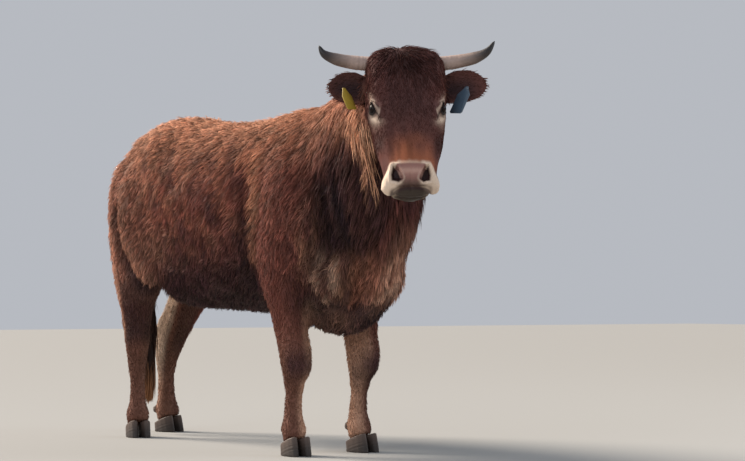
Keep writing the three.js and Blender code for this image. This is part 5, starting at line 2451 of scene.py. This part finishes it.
class TailSwitch:
    """The long hair at the end of the tail: a dark core hung with locks.

    Attributes:
        AXIS: The place, forwards and sideways, that it hangs at.
        LOCKS: How many locks hang on it.
    """

    AXIS = np.array([-1.0930, -0.0060])
    LOCKS = 1500

    def __init__(self) -> None:
        """Sets up chance."""
        self.chance = np.random.default_rng(51)

    def tint(self, height: Array) -> Array:
        """The colour of the hair by height."""
        share = ramp(0.225, 0.150, height)
        return blend(np.tile(Hue.SWITCH.light, (len(height), 1)), Hue.SWITCH_END.light, share)

    def core(self) -> Piece:
        """The mass of hair inside."""
        core = voxelled("tail_switch", 0.006)
        points = smoothed(core, 10)
        high = ramp(0.43, 0.50, points[:, 2])
        low = ramp(0.32, 0.15, points[:, 2])
        points[:, :2] = self.AXIS + (points[:, :2] - self.AXIS) * (1.0 + 0.35 * high - 0.35 * low)[:, None]
        points[:, 2] += 1.50 * np.maximum(points[:, 2] - 0.43, 0.0)
        move_points(core.data, points)
        sink = 0.007 + 0.004 * Noise(52).at(points * (1.0, 1.0, 0.15), 0.012)
        points = points - normals_of(core.data) * sink[:, None]
        move_points(core.data, points)
        soften(core)
        outwards(core)
        unwrap(core, 0.01)
        paint(core.data, TINT, self.tint(points[:, 2]) * 0.6)
        return core

    def build(self) -> Piece:
        """Makes the core and its locks."""
        core = self.core()
        mesh, count = core.data, self.LOCKS
        points = points_of(mesh)
        places = np.zeros((len(points), 2))
        places[listed(mesh.loops, "vertex_index", 1, np.int32)] = listed(mesh.uv_layers[ATLAS].data, "uv", 2)
        picks = self.chance.choice(len(points), count, replace=False)
        root = points[picks]
        spare = root[:, 2] - points[:, 2].min() + 0.010
        length = self.chance.uniform(0.10, 0.23, count)
        length = np.minimum(length, spare * self.chance.uniform(0.55, 1.0, count))
        length = np.maximum(length, 0.02)
        inwards = np.zeros((count, 3))
        inwards[:, :2] = 0.55 * ramp(0.50, 0.30, root[:, 2] - length)[:, None] * (self.AXIS - root[:, :2])
        lie = unit(DOWN * length[:, None] + inwards)
        lie = unit(lie + 0.035 * self.chance.normal(size=(count, 3)))
        tone = self.chance.uniform(0.7, 1.3, count)[:, None]
        locks = Tufts(
            root=root,
            normal=normals_of(mesh)[picks],
            lie=lie,
            length=length,
            width=self.chance.uniform(0.0035, 0.0060, count),
            lift=self.chance.uniform(0.02, 0.08, count),
            curl=self.chance.uniform(0.02, 0.08, count),
            droop=np.full(count, 0.05),
            dark=self.tint(root[:, 2]) * tone * 0.8,
            light=self.tint(root[:, 2] - length) * tone * 1.25,
            atlas=places[picks],
        )
        return named(joined([core, locks.build("locks", 5, self.chance)]), "switch_hair")


class Lashes:
    """The lashes of the upper lids."""

    COUNT = 46

    def build(self) -> Piece:
        """Makes the lashes of both eyes."""
        chance = np.random.default_rng(61)
        roots, normals, lies = [], [], []
        for eye in EYES:
            angle = np.linspace(0.25, np.pi - 0.25, self.COUNT)
            lid = eye.radius + 0.0035
            along = 1.06 * eye.slit[0] * np.cos(angle) / lid
            up = 1.06 * eye.slit[1] * np.sin(angle) / lid
            heading = np.stack([along, up, np.sqrt(1.0 - along**2 - up**2)], axis=1)
            fan = np.stack([0.5 * np.cos(angle), np.full(self.COUNT, 0.25), np.full(self.COUNT, 0.8)], axis=1)
            fan = unit(fan + 0.12 * chance.normal(size=fan.shape))
            roots.append(HEAD.outward(eye.centre + heading @ eye.axes * (lid - 0.0005)))
            normals.append(HEAD.turned(np.tile(eye.axes[1], (self.COUNT, 1))))
            lies.append(HEAD.turned(fan @ eye.axes))
        count = 2 * self.COUNT
        shade = np.tile(Hue.RIM.light, (count, 1))
        lashes = Tufts(
            root=np.concatenate(roots),
            normal=np.concatenate(normals),
            lie=np.concatenate(lies),
            length=chance.uniform(0.008, 0.013, count),
            width=np.full(count, 0.0011),
            lift=np.full(count, -0.10),
            curl=np.full(count, 0.03),
            droop=np.full(count, 0.35),
            dark=shade,
            light=shade * 1.2,
            atlas=chance.random((count, 2)) * 0.99,
        )
        return lashes.build("lashes", 3, chance)


# -------------------- The whole cow --------------------


@dataclass(frozen=True)
class Zone:
    """A part of the coat that is one piece.

    Attributes:
        name: The piece's name.
        rings: How finely its tufts bend.
        holds: Tells which places belong to it.
    """

    name: str
    rings: int
    holds: Callable[[Spot], Array]


def is_head(spot: Spot) -> Array:
    """Places on the head."""
    return (spot.shares.head > 0.5) & (spot.ear <= 0.5)


def is_neck(spot: Spot) -> Array:
    """Places on the neck."""
    return (spot.shares.neck > 0.5) & ~is_head(spot)


def is_shank(spot: Spot) -> Array:
    """Places on the lower legs."""
    return (spot.shares.leg > 0.4) & (spot.local[:, 2] < 0.62)


def is_flank(spot: Spot, low: float, high: float, side: float) -> Array:
    """Places on the body between two distances along it, on one side."""
    rest = ~(is_head(spot) | is_neck(spot) | is_shank(spot)) & (spot.shares.tail <= 0.5) & (spot.ear <= 0.5)
    ahead = spot.local[:, 0]
    return rest & (ahead >= low) & (ahead < high) & (spot.local[:, 1] * side >= 0.0)


# How far along the body the rump ends and the shoulder begins.
RUMP_END = -0.40
SHOULDER_START = 0.25

ZONES = (
    Zone("coat_head", 2, is_head),
    Zone("coat_ears", 3, lambda spot: spot.ear > 0.5),
    Zone("coat_neck", 3, is_neck),
    Zone("coat_tail", 2, lambda spot: (spot.shares.tail > 0.5) & (spot.ear <= 0.5)),
    Zone("coat_fore_legs", 2, lambda spot: is_shank(spot) & (spot.local[:, 0] > 0.0)),
    Zone("coat_hind_legs", 2, lambda spot: is_shank(spot) & (spot.local[:, 0] <= 0.0)),
    Zone("coat_rump_right", 3, lambda spot: is_flank(spot, -FAR, RUMP_END, -1.0)),
    Zone("coat_rump_left", 3, lambda spot: is_flank(spot, -FAR, RUMP_END, 1.0)),
    Zone("coat_flank_right", 3, lambda spot: is_flank(spot, RUMP_END, SHOULDER_START, -1.0)),
    Zone("coat_flank_left", 3, lambda spot: is_flank(spot, RUMP_END, SHOULDER_START, 1.0)),
    Zone("coat_shoulder_right", 3, lambda spot: is_flank(spot, SHOULDER_START, FAR, -1.0)),
    Zone("coat_shoulder_left", 3, lambda spot: is_flank(spot, SHOULDER_START, FAR, 1.0)),
)


@dataclass
class Cow:
    """Builds every piece and hands it to the frame."""

    anatomy: Anatomy = field(default_factory=Anatomy)
    markings: Markings = field(default_factory=Markings)

    def finish(
        self, piece: Piece, material: bpy.types.Material, slot: str | None, nodes: Sequence[str] = ()
    ) -> None:
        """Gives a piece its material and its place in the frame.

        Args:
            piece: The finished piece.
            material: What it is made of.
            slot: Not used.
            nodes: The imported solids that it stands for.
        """
        piece.data.materials.clear()
        piece.data.materials.append(material)
        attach(piece, "root")
        if nodes:
            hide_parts(*nodes)
        log.info("%s: %d faces", piece.name, len(piece.data.polygons))

    def build(self) -> None:
        """Makes the whole cow."""
        skin = self.make_skin()
        self.make_coat(skin)
        self.make_head_pieces()
        self.make_feet()
        self.make_rear_pieces()

    def make_skin(self) -> Piece:
        """Makes and paints the skin."""
        skin = Skin(self.anatomy).build()
        points = points_of(skin.data)
        spot = Spot(points, normals_of(skin.data), self.anatomy.shares(points))
        under = spot.shares.shaggy(points[:, 2])
        paint(skin.data, TINT, self.markings.at(spot) * (1.0 - 0.42 * under)[:, None])
        paint(skin.data, BARE, np.stack([self.markings.bare(spot), under, under], axis=1))
        self.finish(skin, Hide().material(), "coat", (*FLESH, *EARS))
        return skin

    def make_coat(self, skin: Piece) -> None:
        """Makes the coat, one piece for each zone."""
        coat = Coat(skin, self.anatomy, self.markings)
        tufts, spot = coat.grow()
        fur = Fur("coat").material()
        short = Fur("face_hair", 0.75, 0.02, 0.03).material()
        for zone in ZONES:
            part = tufts.chosen(zone.holds(spot))
            piece = part.build(zone.name, zone.rings, np.random.default_rng(len(zone.name)))
            self.finish(piece, short if zone.name == "coat_head" else fur, "coat")
        mane = coat.mane(tufts, spot).build("coat_mane", 5, np.random.default_rng(72))
        self.finish(mane, fur, "coat")

    def make_head_pieces(self) -> None:
        """Makes horns, eyes, lashes and ear tags."""
        horn = Keratin("horn", (220.0, 40.0, 220.0)).material()
        gloss = Gloss().material()
        for side, name in ((1.0, "left"), (-1.0, "right")):
            node = f"horn_{name}"
            self.finish(Horn(node, side).build(), horn, "horn", (node,))
            node = f"eye_{name}"
            eye = EYES[0] if side > 0 else EYES[1]
            self.finish(EyeBall(node, eye).build(), gloss, "eye", (node,))
        self.finish(Lashes().build(), Fur("lashes", 0.5, 0.0).material(), "coat")
        for node, colour in (("tag_blue", (66, 84, 100)), ("tag_yellow", (176, 148, 52))):
            tag = Tag(node, Plastic(node, colour))
            self.finish(tag.build(), tag.finish.material(), node, (node,))

    def make_feet(self) -> None:
        """Makes the claws and dewclaws."""
        hoof = Keratin("hoof", (60.0, 60.0, 520.0), 0.6, 0.0006).material()
        for leg in LEGS:
            for kind, voxel, inset in (("claw", 0.0032, 0.0), ("dewclaw", 0.0024, 0.009)):
                nodes = tuple(f"{leg.name}_{kind}_{place}" for place in ("outer", "inner"))
                toes = Toes(leg, nodes, f"{leg.name}_{kind}s", voxel, inset).build()
                self.finish(toes, hoof, "hoof", nodes)

    def make_rear_pieces(self) -> None:
        """Makes the tail's switch and the udder."""
        hair = Fur("switch_hair", 0.55, 0.15).material()
        self.finish(TailSwitch().build(), hair, "switch_hair", ("tail_switch",))
        self.finish(Udder().build(), Hide(0.60, 0.50).material(), "udder", ("udder",))


@dataclass(frozen=True)
class Studio:
    """Floor, light and camera."""

    camera_place: Triple = (7.2130, -4.3830, 0.610)
    camera_turn: Triple = (91.894, 0.0, 56.0)
    lens: float = 99.35
    warm_from: Triple = (-5.0, -2.6, 4.4)

    def build(self) -> None:
        """Sets up everything round the cow."""
        self.floor()
        self.sky()
        self.sun()
        self.lamp("soft_front", (4.0, -8.0, 4.2), (0.0, 0.0, 0.8), 5.0, 170.0, (0.90, 0.94, 1.0))
        self.lamp("far_side", (5.0, 6.5, 5.0), (0.5, 0.0, 1.0), 4.0, 190.0, (0.92, 0.96, 1.0))
        self.camera()
        bpy.context.scene.view_settings.view_transform = "Standard"

    def floor(self) -> None:
        """Lays the floor."""
        deselect()
        bpy.ops.mesh.primitive_plane_add(size=60.0)
        floor = named(bpy.context.object, "floor")
        floor.data.materials.append(Ground().material())

    def sky(self) -> None:
        """Lights the room evenly."""
        world = bpy.data.worlds.new("room")
        world.use_nodes = True
        background = world.node_tree.nodes["Background"]
        background.inputs["Color"].default_value = (*linear(220, 224, 232), 1.0)
        background.inputs["Strength"].default_value = 0.66
        bpy.context.scene.world = world

    def hang(self, name: str, kind: str, power: float, place: Triple, aim: Triple) -> bpy.types.Light:
        """Hangs one lamp.

        Args:
            name: Its name.
            kind: What sort of light it is.
            power: Its strength.
            place: Where it hangs.
            aim: Where it shines.

        Returns:
            Its data.
        """
        data = bpy.data.lights.new(name, kind)
        data.energy = power
        lamp = bpy.data.objects.new(name, data)
        lamp.location = place
        lamp.rotation_euler = (Vector(aim) - Vector(place)).to_track_quat("-Z", "Y").to_euler()
        bpy.context.scene.collection.objects.link(lamp)
        return data

    def sun(self) -> None:
        """Hangs the wide warm light that comes from beside and behind."""
        data = self.hang("warm_side", "SUN", 6.2, self.warm_from, (0.0, 0.0, 0.0))
        data.angle = math.radians(24.0)
        data.color = (1.0, 0.88, 0.75)

    def lamp(self, name: str, place: Triple, aim: Triple, size: float, power: float, colour: Triple) -> None:
        """Hangs one soft lamp.

        Args:
            name: Its name.
            place: Where it hangs.
            aim: Where it shines.
            size: Its width.
            power: Its strength in watts.
            colour: Its colour.
        """
        data = self.hang(name, "AREA", power, place, aim)
        data.shape = "DISK"
        data.size = size
        data.color = colour

    def camera(self) -> None:
        """Sets the camera."""
        data = bpy.data.cameras.new("camera")
        data.lens = self.lens
        data.sensor_width = 36.0
        camera = bpy.data.objects.new("camera", data)
        camera.location = self.camera_place
        camera.rotation_euler = tuple(math.radians(angle) for angle in self.camera_turn)
        bpy.context.scene.collection.objects.link(camera)
        bpy.context.scene.camera = camera


def main() -> None:
    """Builds the cow in its studio."""
    logging.basicConfig(level=logging.INFO)
    Cow().build()
    Studio().build()


if __name__ == "__main__":
    main()
